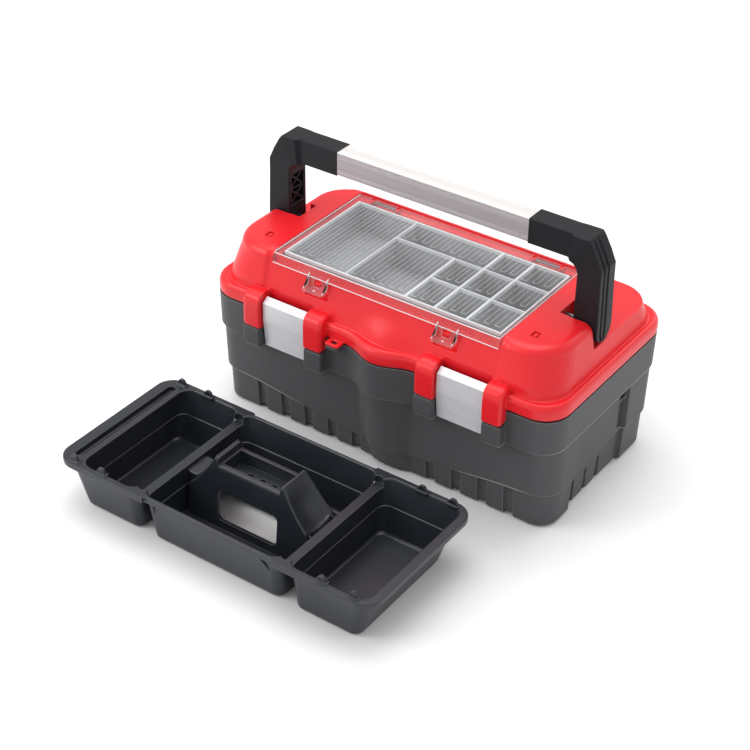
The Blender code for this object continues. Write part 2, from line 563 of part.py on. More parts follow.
def make_tray():
    half_x, half_y = TRAY_RIM
    rim = [ring((z, half_x, half_y, half_y, 0.022, 0.0, 0.0), TRAY_X, TRAY_Y) for z in TRAY_RIM_Z]
    tray = loft("tray", rim, slate)
    tubs = (
        ("left", -0.1845, -0.1040, -0.1990, -0.1000),
        ("middle", -0.0870, 0.0870, -0.0925, 0.0925),
        ("right", 0.1040, 0.1845, 0.1000, 0.1990),
    )
    for word, x0, x1, top_x0, top_x1 in tubs:
        join(tray, tray_tub(f"tub_{word}", x0, x1, 0.0, top_x0, top_x1))
    lowered, bridges, thinner = [], [], []
    for side in (-1, 1):
        span = (TRAY_X + side * 0.0890, TRAY_X + side * 0.1035)
        lowered.append((span, (TRAY_Y - 0.0845, TRAY_Y + 0.0845), (0.0540, 0.08)))
        span = (TRAY_X + side * 0.0912, TRAY_X + side * 0.1012)
        bridges.append((span, (TRAY_Y - 0.0870, TRAY_Y + 0.0870), (0.0500, 0.0560)))
        edge = sorted((TRAY_Y + side * 0.0915, TRAY_Y + side * 0.12))
        thinner.append(((TRAY_X - 0.085, TRAY_X + 0.085), edge, (0.05, 0.08)))
    join(tray, boxes("tray_bridges", bridges))
    cut(tray, boxes("tray_lowered", lowered))
    cut(tray, boxes("tray_thin_edge", thinner))
    for word, x0, x1, top_x0, top_x1 in tubs:
        if word == "left":
            top_x0 += 0.0165
        cut(tray, tray_tub(f"hollow_{word}", x0, x1, 0.0020, top_x0, top_x1))
    cut(tray, box("tray_trough", (TRAY_X - 0.1965, TRAY_X - 0.1850),
                  (TRAY_Y - 0.080, TRAY_Y + 0.080), (0.0585, 0.08)))

    # hollow saddle along the middle tub, with finger windows and a grooved grip on top
    hump_x = TRAY_X
    saddle = ((0.0, 0.0800, 0.0290), (0.0450, 0.0795, 0.0245), (0.0860, 0.0480, 0.0205),
              (0.0900, 0.0455, 0.0200))
    hollow = ((-0.01, 0.0775, 0.0265), (0.0400, 0.0765, 0.0220), (0.0580, 0.0630, 0.0185))
    for name, levels, mode in (("saddle", saddle, join), ("saddle_inside", hollow, cut)):
        rings = [ring((z, x, y, y, 0.006, 0.0, 0.0), hump_x, TRAY_Y) for z, x, y in levels]
        mode(tray, loft(name, rings))
    webs = [((hump_x + 0.0780, hump_x + 0.0925), (TRAY_Y + y, TRAY_Y + y + 0.004), (0.001, 0.0430))
            for y in (-0.0225, 0.0185)]
    webs.append(((hump_x - 0.0925, hump_x - 0.0740), (TRAY_Y - 0.0170, TRAY_Y + 0.0170), (0.001, 0.0500)))
    join(tray, boxes("saddle_webs", webs))
    cut(tray, box("saddle_window", (hump_x - 0.0400, hump_x + 0.0400),
                  (TRAY_Y - 0.04, TRAY_Y + 0.04), (0.0125, 0.0500)))
    cut(tray, box("grip_dip", (hump_x - 0.0415, hump_x + 0.0415),
                  (TRAY_Y - 0.04, TRAY_Y + 0.04), (0.0800, 0.12)))
    cut(tray, box("grip_groove", (hump_x - 0.0385, hump_x + 0.0385),
                  (TRAY_Y - 0.0145, TRAY_Y + 0.0145), (0.0630, 0.12)))
    for k in (-1, 0, 1):
        cut(tray, rod(f"grip_hole_{k + 1}", "Z", 0.04, 0.08, (hump_x + k * 0.016, TRAY_Y),
                      0.0032, sides=10))
    for side in (-1, 1):
        for end in (-1, 1):
            for x in EAR_X:
                y = TRAY_Y + side * 0.0890
                join(tray, rod(f"ear_{side}_{end}_{x}", "Y", y - 0.002, y + 0.002,
                               (TRAY_X + end * x, 0.0660), 0.0055, sides=12))


make_base()
make_lid()
sides(make_pins)
sides(make_latch)
sides(make_arm)
make_bar()
make_bin()
make_cover()
make_tray()
for piece in parts.objects:
    piece.data.shade_smooth()
    piece.data.set_sharp_from_angle(angle=math.radians(32))
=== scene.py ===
# Looks of a plastic toolbox: organizer lid, folding handle, two latches and a lift-out tray.
import json
import math

import bmesh
import bpy
import numpy as np
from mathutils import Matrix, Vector


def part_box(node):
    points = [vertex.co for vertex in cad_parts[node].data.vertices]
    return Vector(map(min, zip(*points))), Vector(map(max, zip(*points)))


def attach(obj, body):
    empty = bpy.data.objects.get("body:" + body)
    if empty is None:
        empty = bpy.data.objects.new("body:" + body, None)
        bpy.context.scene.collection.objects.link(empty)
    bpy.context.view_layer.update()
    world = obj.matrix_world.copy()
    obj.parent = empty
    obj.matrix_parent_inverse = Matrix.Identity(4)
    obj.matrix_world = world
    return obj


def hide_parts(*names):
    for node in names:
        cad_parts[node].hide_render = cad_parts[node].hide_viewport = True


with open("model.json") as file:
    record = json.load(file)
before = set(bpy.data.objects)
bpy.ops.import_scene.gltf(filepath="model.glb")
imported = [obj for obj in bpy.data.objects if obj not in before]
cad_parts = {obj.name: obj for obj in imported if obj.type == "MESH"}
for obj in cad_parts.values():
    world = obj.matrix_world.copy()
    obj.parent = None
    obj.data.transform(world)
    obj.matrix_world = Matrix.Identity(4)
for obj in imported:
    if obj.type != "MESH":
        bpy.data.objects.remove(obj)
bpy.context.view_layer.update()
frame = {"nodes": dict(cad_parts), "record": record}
jointPlace = {j["name"]: j.get("pos_m") for j in frame["record"]["behaviour"]["joints"]}
print("frame loaded:", len(frame["nodes"]), "CAD nodes")

scene = bpy.context.scene


# lowest and highest corner of a CAD node
def corners(node):
    low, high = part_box(node)
    return np.array(low), np.array(high)


# number helpers

# 0 below the edge and 1 above it, by the cubic 3t^2 - 2t^3 over the given width
def rise(value, edge, width):
    t = np.clip((value - edge) / width + 0.5, 0.0, 1.0)
    return t * t * (3.0 - 2.0 * t)


# 1 between the two edges and 0 outside them, with soft flanks
def between(value, low, high, width):
    return rise(value, low, width) * (1.0 - rise(value, high, width))


# evenly spaced places from low to high, with five close ones at each edge in the list
def stations(low, high, step, edges=(), reach=0.0012):
    even = np.linspace(low, high, max(2, int(round((high - low) / step)) + 1))
    close = np.add.outer(np.asarray(edges, float), np.linspace(-reach, reach, 5)).ravel()
    close = close[(close > low) & (close < high)]
    merged = np.sort(np.concatenate([even, close]))
    return merged[np.concatenate([[True], np.diff(merged) > reach * 0.2])]


# each inner corner of a row list becomes a parabola (1-t)^2 A + 2t(1-t) corner + t^2 B, whose ends
# A and B lie at most cut metres from the corner; measured in the first two columns
def softened(rows, cut, steps=4, closed=False):
    rows = np.asarray(rows, float)
    if closed:
        before, corner, after = np.roll(rows, 1, axis=0), rows, np.roll(rows, -1, axis=0)
    else:
        before, corner, after = rows[:-2], rows[1:-1], rows[2:]
    back = np.linalg.norm((before - corner)[:, :2], axis=1, keepdims=True) + 1e-12
    ahead = np.linalg.norm((after - corner)[:, :2], axis=1, keepdims=True) + 1e-12
    start = corner + (before - corner) * np.minimum(0.46, cut / back)
    end = corner + (after - corner) * np.minimum(0.46, cut / ahead)
    t = np.linspace(0.0, 1.0, steps + 1)[None, :, None]
    curve = (1 - t) ** 2 * start[:, None] + 2 * t * (1 - t) * corner[:, None] + t * t * end[:, None]
    curve = curve.reshape(-1, rows.shape[1])
    return curve if closed else np.vstack([rows[:1], curve, rows[-1:]])


# mesh helpers

def makeObject(name, points, faces):
    mesh = bpy.data.meshes.new(name)
    mesh.from_pydata(np.asarray(points, float).tolist(), [], faces)
    made = bpy.data.objects.new(name, mesh)
    scene.collection.objects.link(made)
    return made


# six times the volume is the sum of the triple products of the triangles' corners; where it comes
# out negative the faces are turned round
def outward(points, quads, caps):
    a, b, c, d = (points[quads[:, k]] for k in range(4))
    volume = (np.cross(a, b) * c).sum() + (np.cross(a, c) * d).sum()
    for cap in caps:
        fan = points[cap]
        volume += (np.cross(fan[1:-1], fan[2:]) * fan[:1]).sum()
    if volume < 0:
        quads, caps = quads[:, ::-1], [cap[::-1] for cap in caps]
    return quads, caps


# a grid of points as a closed skin: columns go round the piece, rows run along it, and a flat
# face closes each end row; split makes triangles, which cutting needs on curved skins
def closedSkin(name, grid, split=False):
    rows, columns = grid.shape[:2]
    index = np.arange(rows * columns).reshape(rows, columns)
    beside = np.roll(index, -1, axis=1)
    quads = np.stack([index[:-1], beside[:-1], beside[1:], index[1:]], axis=-1).reshape(-1, 4)
    points = grid.reshape(-1, 3)
    quads, caps = outward(points, quads, [index[0][::-1], index[-1]])
    if split:
        faces = np.vstack([quads[:, [0, 1, 2]], quads[:, [0, 2, 3]]]).tolist()
    else:
        faces = quads.tolist()
    return makeObject(name, points, faces + [cap.tolist() for cap in caps])


# a ring of closed sections as a skin: both the rows and the columns of the grid go round
def loopSkin(name, grid):
    index = np.arange(grid.shape[0] * grid.shape[1]).reshape(grid.shape[:2])
    down, beside = np.roll(index, -1, axis=0), np.roll(index, -1, axis=1)
    quads = np.stack([index, down, np.roll(down, -1, axis=1), beside], axis=-1).reshape(-1, 4)
    points = grid.reshape(-1, 3)
    return makeObject(name, points, outward(points, quads, [])[0].tolist())


# a block whose top is the height z = top(x, y) over a grid of x and y places, closed by four
# upright walls and a flat bottom
def heightBlock(name, xs, ys, top, bottom):
    x, y = np.meshgrid(xs, ys, indexing="ij")
    upper = np.stack([x, y, top(x, y)], axis=-1)
    nx, ny = len(xs), len(ys)
    index = np.arange(nx * ny).reshape(nx, ny)
    quads = np.stack([index[:-1, :-1], index[1:, :-1], index[1:, 1:], index[:-1, 1:]], axis=-1)
    edge = np.concatenate([index[:-1, 0], index[-1, :-1], index[:0:-1, -1], index[0, :0:-1]])
    foot = nx * ny + np.arange(len(edge))
    beside, footBeside = np.roll(edge, -1), np.roll(foot, -1)
    walls = np.stack([foot, footBeside, beside, edge], axis=-1)
    points = upper.reshape(-1, 3)
    lower = points[edge].copy()
    lower[:, 2] = bottom
    points = np.vstack([points, lower])
    quads, caps = outward(points, np.vstack([quads.reshape(-1, 4), walls]), [foot[::-1]])
    return makeObject(name, points, quads.tolist() + [cap.tolist() for cap in caps])


# columns of a rounded box's outline, anticlockwise from the front's left end: straight sides hold
# the given places, corners are arcs; returns x, y for every row and the outward normal
def roundedOutline(halfX, front, back, radius, alongX, alongY, arc=9):
    halfX, front, back, radius = (np.asarray(v, float)[:, None] for v in (halfX, front, back, radius))
    rows = np.ones_like(halfX)
    turn = np.radians(np.linspace(0.0, 90.0, arc + 1))[None]

    def side(x, y, normalX, normalY):
        flat = np.zeros(np.broadcast(x, y).shape[1])
        return x * rows, y * rows, flat + normalX, flat + normalY

    def corner(signX, signY, start):
        middleY = back - radius if signY > 0 else radius - front
        c, s = np.cos(turn + start), np.sin(turn + start)
        return signX * (halfX - radius) + radius * c, middleY + radius * s, c[0], s[0]

    # places along a straight side never pass the start of the next corner, and stay in order
    def kept(places, low, high):
        count = np.arange(len(places))[None] * 0.0003
        return np.clip(np.asarray(places, float)[None], low + count, high - count[:, ::-1])

    ax = kept(alongX, radius - halfX, halfX - radius)
    ay = kept(alongY, radius - front, back - radius)
    quarter = math.pi / 2
    runs = (
        side(ax, -front + ax * 0, 0, -1), corner(1, -1, -quarter),
        side(halfX + ay * 0, ay, 1, 0), corner(1, 1, 0),
        side(ax[:, ::-1], back + ax * 0, 0, 1), corner(-1, 1, quarter),
        side(-halfX + ay * 0, ay[:, ::-1], -1, 0), corner(-1, -1, 2 * quarter),
    )
    x, y = (np.hstack([run[k] for run in runs]) for k in (0, 1))
    normalX, normalY = (np.concatenate([run[k] for run in runs]) for k in (2, 3))
    return x, y, normalX, normalY


# a flat outline carried along the axis that its plane leaves out; near each end it shrinks along
# its own normal by r - sqrt(r^2 - d^2), which rounds the edge there
def slab(name, outline, plane, low, high, edge=0.0006, soft=0.0, steps=3, split=False):
    outline = softened(outline, soft, closed=True) if soft else np.asarray(outline, float)
    area = np.cross(outline, np.roll(outline, -1, axis=0)).sum()
    ahead = np.roll(outline, -1, axis=0) - np.roll(outline, 1, axis=0)
    normal = np.stack([ahead[:, 1], -ahead[:, 0]], axis=1) * np.sign(area)
    normal /= np.linalg.norm(normal, axis=1, keepdims=True) + 1e-12
    low, high = sorted((low, high))
    if edge:
        turn = np.linspace(0.0, math.pi / 2, steps + 1)
        depth, shrink = edge * (1 - np.cos(turn)), edge * (1 - np.sin(turn))
        along = np.concatenate([low + depth, (high - depth)[::-1]])
        shrink = np.concatenate([shrink, shrink[::-1]])
    else:
        along, shrink = np.array([low, high]), np.zeros(2)
    flat = outline[None] - normal[None] * shrink[:, None, None]
    third = np.broadcast_to(along[:, None], flat.shape[:2])
    order = {"YZ": (2, 0, 1), "XZ": (0, 2, 1), "XY": (0, 1, 2)}[plane]
    triple = (flat[..., 0], flat[..., 1], third)
    return closedSkin(name, np.stack([triple[k] for k in order], axis=-1), split)


# a rectangle's outline with round corners, as points
def roundedRectangle(x, y, radius, arc=6):
    (x0, x1), (y0, y1) = sorted(x), sorted(y)
    middle = [(x1 - radius, y0 + radius, -90), (x1 - radius, y1 - radius, 0),
              (x0 + radius, y1 - radius, 90), (x0 + radius, y0 + radius, 180)]
    turn = np.radians(np.linspace(0, 90, arc + 1))
    return np.vstack([
        np.stack([cx + radius * np.cos(turn + math.radians(start)),
                  cy + radius * np.sin(turn + math.radians(start))], axis=1)
        for cx, cy, start in middle
    ])


# a block with round upright corners and rounded rims at both ends of the named axis
def block(name, x, y, z, radius=0.001, edge=0.0005, axis="Z", split=False):
    spans = {"Z": (x, y, z, "XY"), "Y": (x, z, y, "XZ"), "X": (y, z, x, "YZ")}[axis]
    outline = roundedRectangle(spans[0], spans[1], radius)
    return slab(name, outline, spans[3], *sorted(spans[2]), edge=edge, split=split)


# a round bar: a circle carried along the axis
def rod(name, axis, low, high, at, radius, edge=0.0004, sides=32):
    turn = np.linspace(0, 2 * math.pi, sides, endpoint=False)
    circle = np.stack([at[0] + radius * np.cos(turn), at[1] + radius * np.sin(turn)], axis=1)
    return slab(name, circle, {"X": "YZ", "Y": "XZ", "Z": "XY"}[axis], low, high, edge=edge)


# a low ridge on a flat face: a five-sided section carried along a path in the XY plane
def ridge(name, path, width, low, high):
    path = np.asarray(path, float)
    ahead = np.gradient(path, axis=0)
    ahead /= np.linalg.norm(ahead, axis=1, keepdims=True)
    across = np.stack([ahead[:, 1], -ahead[:, 0]], axis=1)
    offset = np.array([-0.5, 0.5, 0.32, 0.0, -0.32]) * width
    level = np.array([low, low, high - (high - low) * 0.25, high, high - (high - low) * 0.25])
    flat = path[:, None] + across[:, None] * offset[None, :, None]
    z = np.broadcast_to(level[None], flat.shape[:2])
    return closedSkin(name, np.dstack([flat, z]))


# several closed shells as one mesh
def gather(name, shells):
    joined = bmesh.new()
    for shell in shells:
        joined.from_mesh(shell.data)
        bpy.data.objects.remove(shell, do_unlink=True)
    mesh = bpy.data.meshes.new(name)
    joined.to_mesh(mesh)
    joined.free()
    made = bpy.data.objects.new(name, mesh)
    scene.collection.objects.link(made)
    return made


def settled(piece):
    baked = bpy.data.meshes.new_from_object(piece.evaluated_get(bpy.context.evaluated_depsgraph_get()))
    piece.modifiers.clear()
    piece.data = baked
    return piece


# cuts the tools out of a piece, or joins them to it, and throws them away
def carve(piece, tools, operation="DIFFERENCE"):
    for tool in tools:
        cut = piece.modifiers.new("carve", "BOOLEAN")
        cut.object, cut.operation, cut.solver = tool, operation, "MANIFOLD"
    settled(piece)
    for tool in tools:
        bpy.data.objects.remove(tool, do_unlink=True)
    return piece


# sharp edges stay above the angle; large faces decide the shading of small ones
def present(piece, body, slotName, material, *nodes, angle=38):
    piece.data.materials.clear()
    piece.data.materials.append(material)
    piece.data.shade_smooth()
    piece.data.set_sharp_from_angle(angle=math.radians(angle))
    even = piece.modifiers.new("evenShading", "WEIGHTED_NORMAL")
    even.keep_sharp = True
    even.weight = 60
    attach(piece, body)
    if nodes:
        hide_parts(*nodes)
    return piece


print("helpers ready")


# materials: sockets as numbers, nodes from one method

class Signal:
    def __init__(self, paint, socket):
        self.paint, self.socket = paint, socket

    def maths(self, operation, *values):
        return self.paint.node("ShaderNodeMath", {"operation": operation}, dict(enumerate(values)))

    def __add__(self, other):
        return self.maths("ADD", self, other)

    def __radd__(self, other):
        return self.maths("ADD", other, self)

    def __sub__(self, other):
        return self.maths("SUBTRACT", self, other)

    def __rsub__(self, other):
        return self.maths("SUBTRACT", other, self)

    def __mul__(self, other):
        return self.maths("MULTIPLY", self, other)

    def __rmul__(self, other):
        return self.maths("MULTIPLY", other, self)

    def __pow__(self, other):
        return self.maths("POWER", self, other)

    def __gt__(self, other):
        return self.maths("GREATER_THAN", self, other)


class Paint:
    def __init__(self, name):
        self.material = bpy.data.materials.new(name)
        self.material.use_nodes = True
        self.tree = self.material.node_tree
        self.tree.nodes.clear()

    # makes a node: settings first, then each named or numbered socket's value or link
    def node(self, kind, settings=None, sockets=None, out=0):
        made = self.tree.nodes.new(kind)
        for key, value in (settings or {}).items():
            if key == "stops":
                ramp = made.color_ramp
                while len(ramp.elements) < len(value):
                    ramp.elements.new(0.5)
                for element, (place, shade) in zip(ramp.elements, value):
                    element.position = place
                    element.color = (shade,) * 3 + (1.0,) if isinstance(shade, float) else (*shade, 1.0)
            else:
                setattr(made, key, value)
        for key, value in (sockets or {}).items():
            if isinstance(value, Signal):
                self.tree.links.new(value.socket, made.inputs[key])
            else:
                made.inputs[key].default_value = value
        return Signal(self, made.outputs[out])

    def place(self, stretch=(1.0, 1.0, 1.0)):
        here = self.node("ShaderNodeTexCoord", out="Object")
        return self.node("ShaderNodeMapping", {}, {"Vector": here, "Scale": stretch})

    def noise(self, scale, detail=2.0, roughness=0.5, stretch=(1.0, 1.0, 1.0)):
        return self.node("ShaderNodeTexNoise", {"noise_dimensions": "3D"},
                         {"Vector": self.place(stretch), "Scale": scale, "Detail": detail,
                          "Roughness": roughness})

    def ramp(self, value, low, high, clampTo=(0.0, 1.0)):
        return self.node("ShaderNodeMapRange", {"clamp": True, "interpolation_type": "SMOOTHSTEP"},
                         {"Value": value, "From Min": low, "From Max": high,
                          "To Min": clampTo[0], "To Max": clampTo[1]})

    def blend(self, factor, first, second, mode="MIX"):
        made = self.tree.nodes.new("ShaderNodeMix")
        made.data_type, made.blend_type = "RGBA", mode
        for socket, value in zip((made.inputs[0], made.inputs[6], made.inputs[7]), (factor, first, second)):
            if isinstance(value, Signal):
                self.tree.links.new(value.socket, socket)
            elif isinstance(value, tuple):
                socket.default_value = (*value, 1.0)
            else:
                socket.default_value = value
        return Signal(self, made.outputs[2])

    # how strongly a point lies on an outer edge: the turn of a rounded normal away from the
    # true one, left out in inner corners
    def outerEdge(self, radius):
        rounded = self.node("ShaderNodeBevel", {"samples": 6}, {"Radius": radius})
        true = self.node("ShaderNodeNewGeometry", out="Normal")
        turn = self.node("ShaderNodeVectorMath", {"operation": "DOT_PRODUCT"},
                         {0: rounded, 1: true}, out="Value")
        inner = self.node("ShaderNodeAmbientOcclusion", {"samples": 6},
                          {"Distance": radius * 2.5}, out="AO")
        return self.ramp(1.0 - turn, 0.01, 0.22) * self.ramp(inner, 0.55, 0.85), rounded

    # paints highlight strips over a tone: each lies between two heights of the object and is a painted
    # highlight, softened by soft metres;
    # dip lowers a strip towards the middle of the box by dip * (1 - |x| / reach)
    def paintHighlightStrips(self, tone, bands, soft=0.0003, reach=0.2025):
        x = self.node("ShaderNodeSeparateXYZ", {}, {"Vector": self.place()}, out="X")
        z = self.node("ShaderNodeSeparateXYZ", {}, {"Vector": self.place()}, out="Z")
        away = self.node("ShaderNodeMath", {"operation": "ABSOLUTE"}, {0: x})
        for low, high, dip, amount, colour in bands:
            level = z + self.ramp(away, 0.0, reach, (dip, 0.0))
            inside = self.ramp(level, low - soft, low) * (1.0 - self.ramp(level, high, high + soft))
            tone = self.blend(inside * amount, tone, colour)
        return tone

    def finish(self, shader):
        output = self.tree.nodes.new("ShaderNodeOutputMaterial")
        self.tree.links.new(shader.socket, output.inputs["Surface"])
        return self.material


# moulded plastic: slow tone changes, fine spark-eroded grain, and smoother outer edges that carry a painted
# highlight in a lighter colour
def mouldedPlastic(name, look):
    paint = Paint(name)
    edge, rounded = paint.outerEdge(look["edgeRadius"])
    slow = paint.noise(look["toneScale"], 3.0, 0.55)
    grain = paint.noise(look["grainScale"], 2.0, 0.6)
    flow = paint.noise(look["flowScale"], 4.0, 0.6, look["flowStretch"])
    tone = paint.blend(paint.ramp(slow, 0.3, 0.7), look["colour"], look["second"])
    tone = paint.blend(paint.ramp(grain, 0.35, 0.65) * look["speckle"], tone, look["speckleColour"])
    # painted highlight: a lighter colour along the outer edges
    tone = paint.blend(edge * look["edgeAmount"], tone, look["edgeColour"])
    # painted highlights in strips at set heights, where the look lists them
    tone = paint.paintHighlightStrips(tone, look.get("bands", ()))
    rough = (look["roughness"] + (slow - 0.5) * look["roughSpread"] + (flow - 0.5) * look["flowSpread"]
             - edge * look["edgeShine"])
    bump = paint.node("ShaderNodeBump", {}, {"Strength": look["bump"], "Distance": look["grainDepth"],
                                             "Height": grain + flow * 0.35, "Normal": rounded})
    shader = paint.node("ShaderNodeBsdfPrincipled", {}, {
        "Base Color": tone, "Roughness": rough, "Normal": bump,
        "IOR": 1.5, "Specular IOR Level": look["specular"],
        "Subsurface Weight": look.get("glow", 0.0), "Subsurface Radius": (0.004, 0.001, 0.0008),
        "Subsurface Scale": 0.5,
    })
    return paint.finish(shader)


# each look's edge colour and amount paint a highlight along outer edges; the listed height strips are painted
# highlights too
plastics = {
    "red": {"colour": (0.800, 0.011, 0.018), "second": (0.730, 0.009, 0.016), "toneScale": 9.0,
            "grainScale": 900.0, "flowScale": 30.0, "flowStretch": (1.0, 1.0, 3.0), "speckle": 0.10,
            "speckleColour": (0.78, 0.020, 0.026), "edgeRadius": 0.0012, "edgeAmount": 0.45,
            "edgeColour": (0.98, 0.16, 0.16), "edgeShine": 0.08, "roughness": 0.36,
            "roughSpread": 0.10, "flowSpread": 0.06, "bump": 0.18, "grainDepth": 0.00012,
            "specular": 0.45},
    "darkGrey": {"colour": (0.056, 0.057, 0.061), "second": (0.065, 0.066, 0.070), "toneScale": 7.0,
                 "grainScale": 1100.0, "flowScale": 22.0, "flowStretch": (1.0, 1.0, 4.0), "speckle": 0.30,
                 "speckleColour": (0.080, 0.082, 0.086), "edgeRadius": 0.0010, "edgeAmount": 1.0,
                 "edgeColour": (0.400, 0.405, 0.415), "edgeShine": 0.10, "roughness": 0.50,
                 "roughSpread": 0.10, "flowSpread": 0.08, "bump": 0.32, "grainDepth": 0.00016,
                 # painted highlights: light lines along the lower edges of the two steps, where the edges
                 # catch the light
                 "bands": ((0.1070, 0.1079, 0.0, 0.75, (0.33, 0.335, 0.345)),
                           (0.0463, 0.0472, 0.022, 0.75, (0.33, 0.335, 0.345))),
                 "specular": 0.34},
    "armBlack": {"colour": (0.0085, 0.0090, 0.0115), "second": (0.0110, 0.0115, 0.0140), "toneScale": 14.0,
                 "grainScale": 1300.0, "flowScale": 40.0, "flowStretch": (1.0, 1.0, 2.0), "speckle": 0.25,
                 "speckleColour": (0.018, 0.019, 0.022), "edgeRadius": 0.0010, "edgeAmount": 0.65,
                 "edgeColour": (0.105, 0.110, 0.120), "edgeShine": 0.10, "roughness": 0.46,
                 "roughSpread": 0.10, "flowSpread": 0.08, "bump": 0.30, "grainDepth": 0.00014,
                 "specular": 0.18},
    "slate": {"colour": (0.0130, 0.0155, 0.0215), "second": (0.0165, 0.0195, 0.0260), "toneScale": 11.0,
              "grainScale": 1000.0, "flowScale": 26.0, "flowStretch": (1.0, 1.0, 3.0), "speckle": 0.22,
              "speckleColour": (0.026, 0.030, 0.038), "edgeRadius": 0.0010, "edgeAmount": 0.70,
              "edgeColour": (0.200, 0.220, 0.250), "edgeShine": 0.10, "roughness": 0.31,
              "roughSpread": 0.10, "flowSpread": 0.05, "bump": 0.03, "grainDepth": 0.00012,
              "specular": 0.50},
    "milky": {"colour": (0.335, 0.330, 0.342), "second": (0.400, 0.394, 0.406), "toneScale": 16.0,
              "grainScale": 700.0, "flowScale": 18.0, "flowStretch": (1.0, 3.0, 1.0), "speckle": 0.25,
              "speckleColour": (0.36, 0.365, 0.37), "edgeRadius": 0.0009, "edgeAmount": 0.90,
              "edgeColour": (0.97, 0.97, 0.98), "edgeShine": 0.10, "roughness": 0.40,
              # painted highlight: the tops of the walls get a whiter colour where they catch the light
              "bands": ((0.2150, 0.2250, 0.0, 0.90, (0.78, 0.78, 0.79)),),  # whiter tops of the walls
              "roughSpread": 0.15, "flowSpread": 0.20, "bump": 0.12, "grainDepth": 0.00015,
              "specular": 0.50},
}
finish = {key: mouldedPlastic(key + "Plastic", look) for key, look in plastics.items()}


# metal with fine lines along one direction: stretched noise gives the lines' height and gloss
def linedMetal(name, look):
    paint = Paint(name)
    edge, rounded = paint.outerEdge(look["edgeRadius"])
    lines = paint.noise(look["lineScale"], 4.0, 0.65, look["stretch"])
    broad = paint.noise(look["broadScale"], 2.0, 0.5, look["stretch"])
    tone = paint.blend(paint.ramp(lines, 0.38, 0.62), look["colour"], look["second"])
    tone = paint.blend(paint.ramp(broad, 0.45, 0.62) * look["broadAmount"], tone, look["broadColour"])
    # painted highlight: a lighter colour along the outer edges
    tone = paint.blend(edge * 0.6, tone, look["edgeColour"])
    # painted highlights in strips at set heights, where the look lists them
    tone = paint.paintHighlightStrips(tone, look.get("bands", ()))
    rough = look["roughness"] + (lines - 0.5) * look["lineGloss"] + (broad - 0.5) * 0.08
    bump = paint.node("ShaderNodeBump", {}, {"Strength": look["bump"], "Distance": 0.0001,
                                             "Height": lines, "Normal": rounded})
    shader = paint.node("ShaderNodeBsdfPrincipled", {}, {
        "Base Color": tone, "Roughness": rough, "Metallic": look["metallic"], "Normal": bump})
    return paint.finish(shader)


# each metal's edge colour paints a highlight along its outer edges
metals = {
    # painted shade: the bar's colour and second are the darker look of its front and back faces, and its top
    # is painted lighter below, although the bar is one metal
    "bar": {"colour": (0.36, 0.325, 0.340), "second": (0.43, 0.395, 0.405), "lineScale": 420.0,
            "stretch": (0.006, 1.0, 1.0), "broadScale": 120.0, "broadAmount": 0.5,
            "broadColour": (0.33, 0.300, 0.310), "edgeColour": (0.98, 0.97, 0.96), "edgeRadius": 0.0006,
            "roughness": 0.38, "lineGloss": 0.18, "bump": 0.35, "metallic": 0.35,
            # painted light: a lighter colour on the top face as if lit from above, and a painted highlight
            # line along the foot of the front and back faces
            "bands": ((0.3160, 0.3190, 0.0, 0.9, (0.74, 0.72, 0.70)),
                      (0.2872, 0.2892, 0.0, 0.8, (0.80, 0.78, 0.77)))},
    "latch": {"colour": (0.70, 0.70, 0.73), "second": (0.76, 0.76, 0.79), "lineScale": 900.0,
              "stretch": (0.05, 1.0, 1.0), "broadScale": 60.0, "broadAmount": 0.3,
              "broadColour": (0.62, 0.63, 0.66), "edgeColour": (0.95, 0.95, 0.96), "edgeRadius": 0.0006,
              "roughness": 0.38, "lineGloss": 0.12, "bump": 0.10, "metallic": 0.30},
    "pin": {"colour": (0.16, 0.165, 0.175), "second": (0.22, 0.225, 0.235), "lineScale": 700.0,
            "stretch": (0.05, 1.0, 1.0), "broadScale": 80.0, "broadAmount": 0.3,
            "broadColour": (0.13, 0.135, 0.145), "edgeColour": (0.34, 0.34, 0.36), "edgeRadius": 0.0003,
            "roughness": 0.34, "lineGloss": 0.15, "bump": 0.15, "metallic": 1.0},
}
for key, look in metals.items():
    finish[key] = linedMetal(key + "Metal", look)

# edge: how strongly the painted highlight along outer edges makes the skin show
clearLook = {"tint": (0.965, 0.972, 0.975), "haze": 0.015, "hazeSpread": 0.025, "edge": 0.70,
             "colour": (0.90, 0.91, 0.92), "roughness": 0.10, "edgeRadius": 0.0008}


# clear moulding: mostly see-through, with a thin whitish haze, a painted highlight that turns the outer edges
# whiter and less see-through, and a mirror skin
def clearPlastic(name, look):
    paint = Paint(name)
    edge, rounded = paint.outerEdge(look["edgeRadius"])
    cloud = paint.noise(14.0, 3.0, 0.6)
    haze = paint.ramp(cloud, 0.35, 0.7, (look["haze"], look["haze"] + look["hazeSpread"]))
    rough = look["roughness"] + (cloud - 0.5) * 0.08
    ripple = paint.node("ShaderNodeBump", {}, {"Strength": 0.08, "Distance": 0.0006,
                                               "Height": paint.noise(60.0, 1.0), "Normal": rounded})
    # the skin's colour turns white along outer edges: a painted highlight
    skin = paint.node("ShaderNodeBsdfPrincipled", {}, {
        "Base Color": paint.blend(edge, look["colour"], (1.0, 1.0, 1.0)), "Roughness": rough,
        "IOR": 1.5, "Normal": ripple})
    clear = paint.node("ShaderNodeBsdfTransparent", {}, {"Color": (*look["tint"], 1.0)})
    facing = paint.node("ShaderNodeLayerWeight", {}, {"Blend": 0.25, "Normal": ripple}, out="Facing")
    # the skin shows more along outer edges, a painted highlight, besides the haze and the grazing facing
    amount = paint.node("ShaderNodeMath", {"operation": "MAXIMUM", "use_clamp": True},
                        {0: haze + facing * 0.14, 1: edge * look["edge"]})
    return paint.finish(paint.node("ShaderNodeMixShader", {}, {0: amount, 1: clear, 2: skin}))


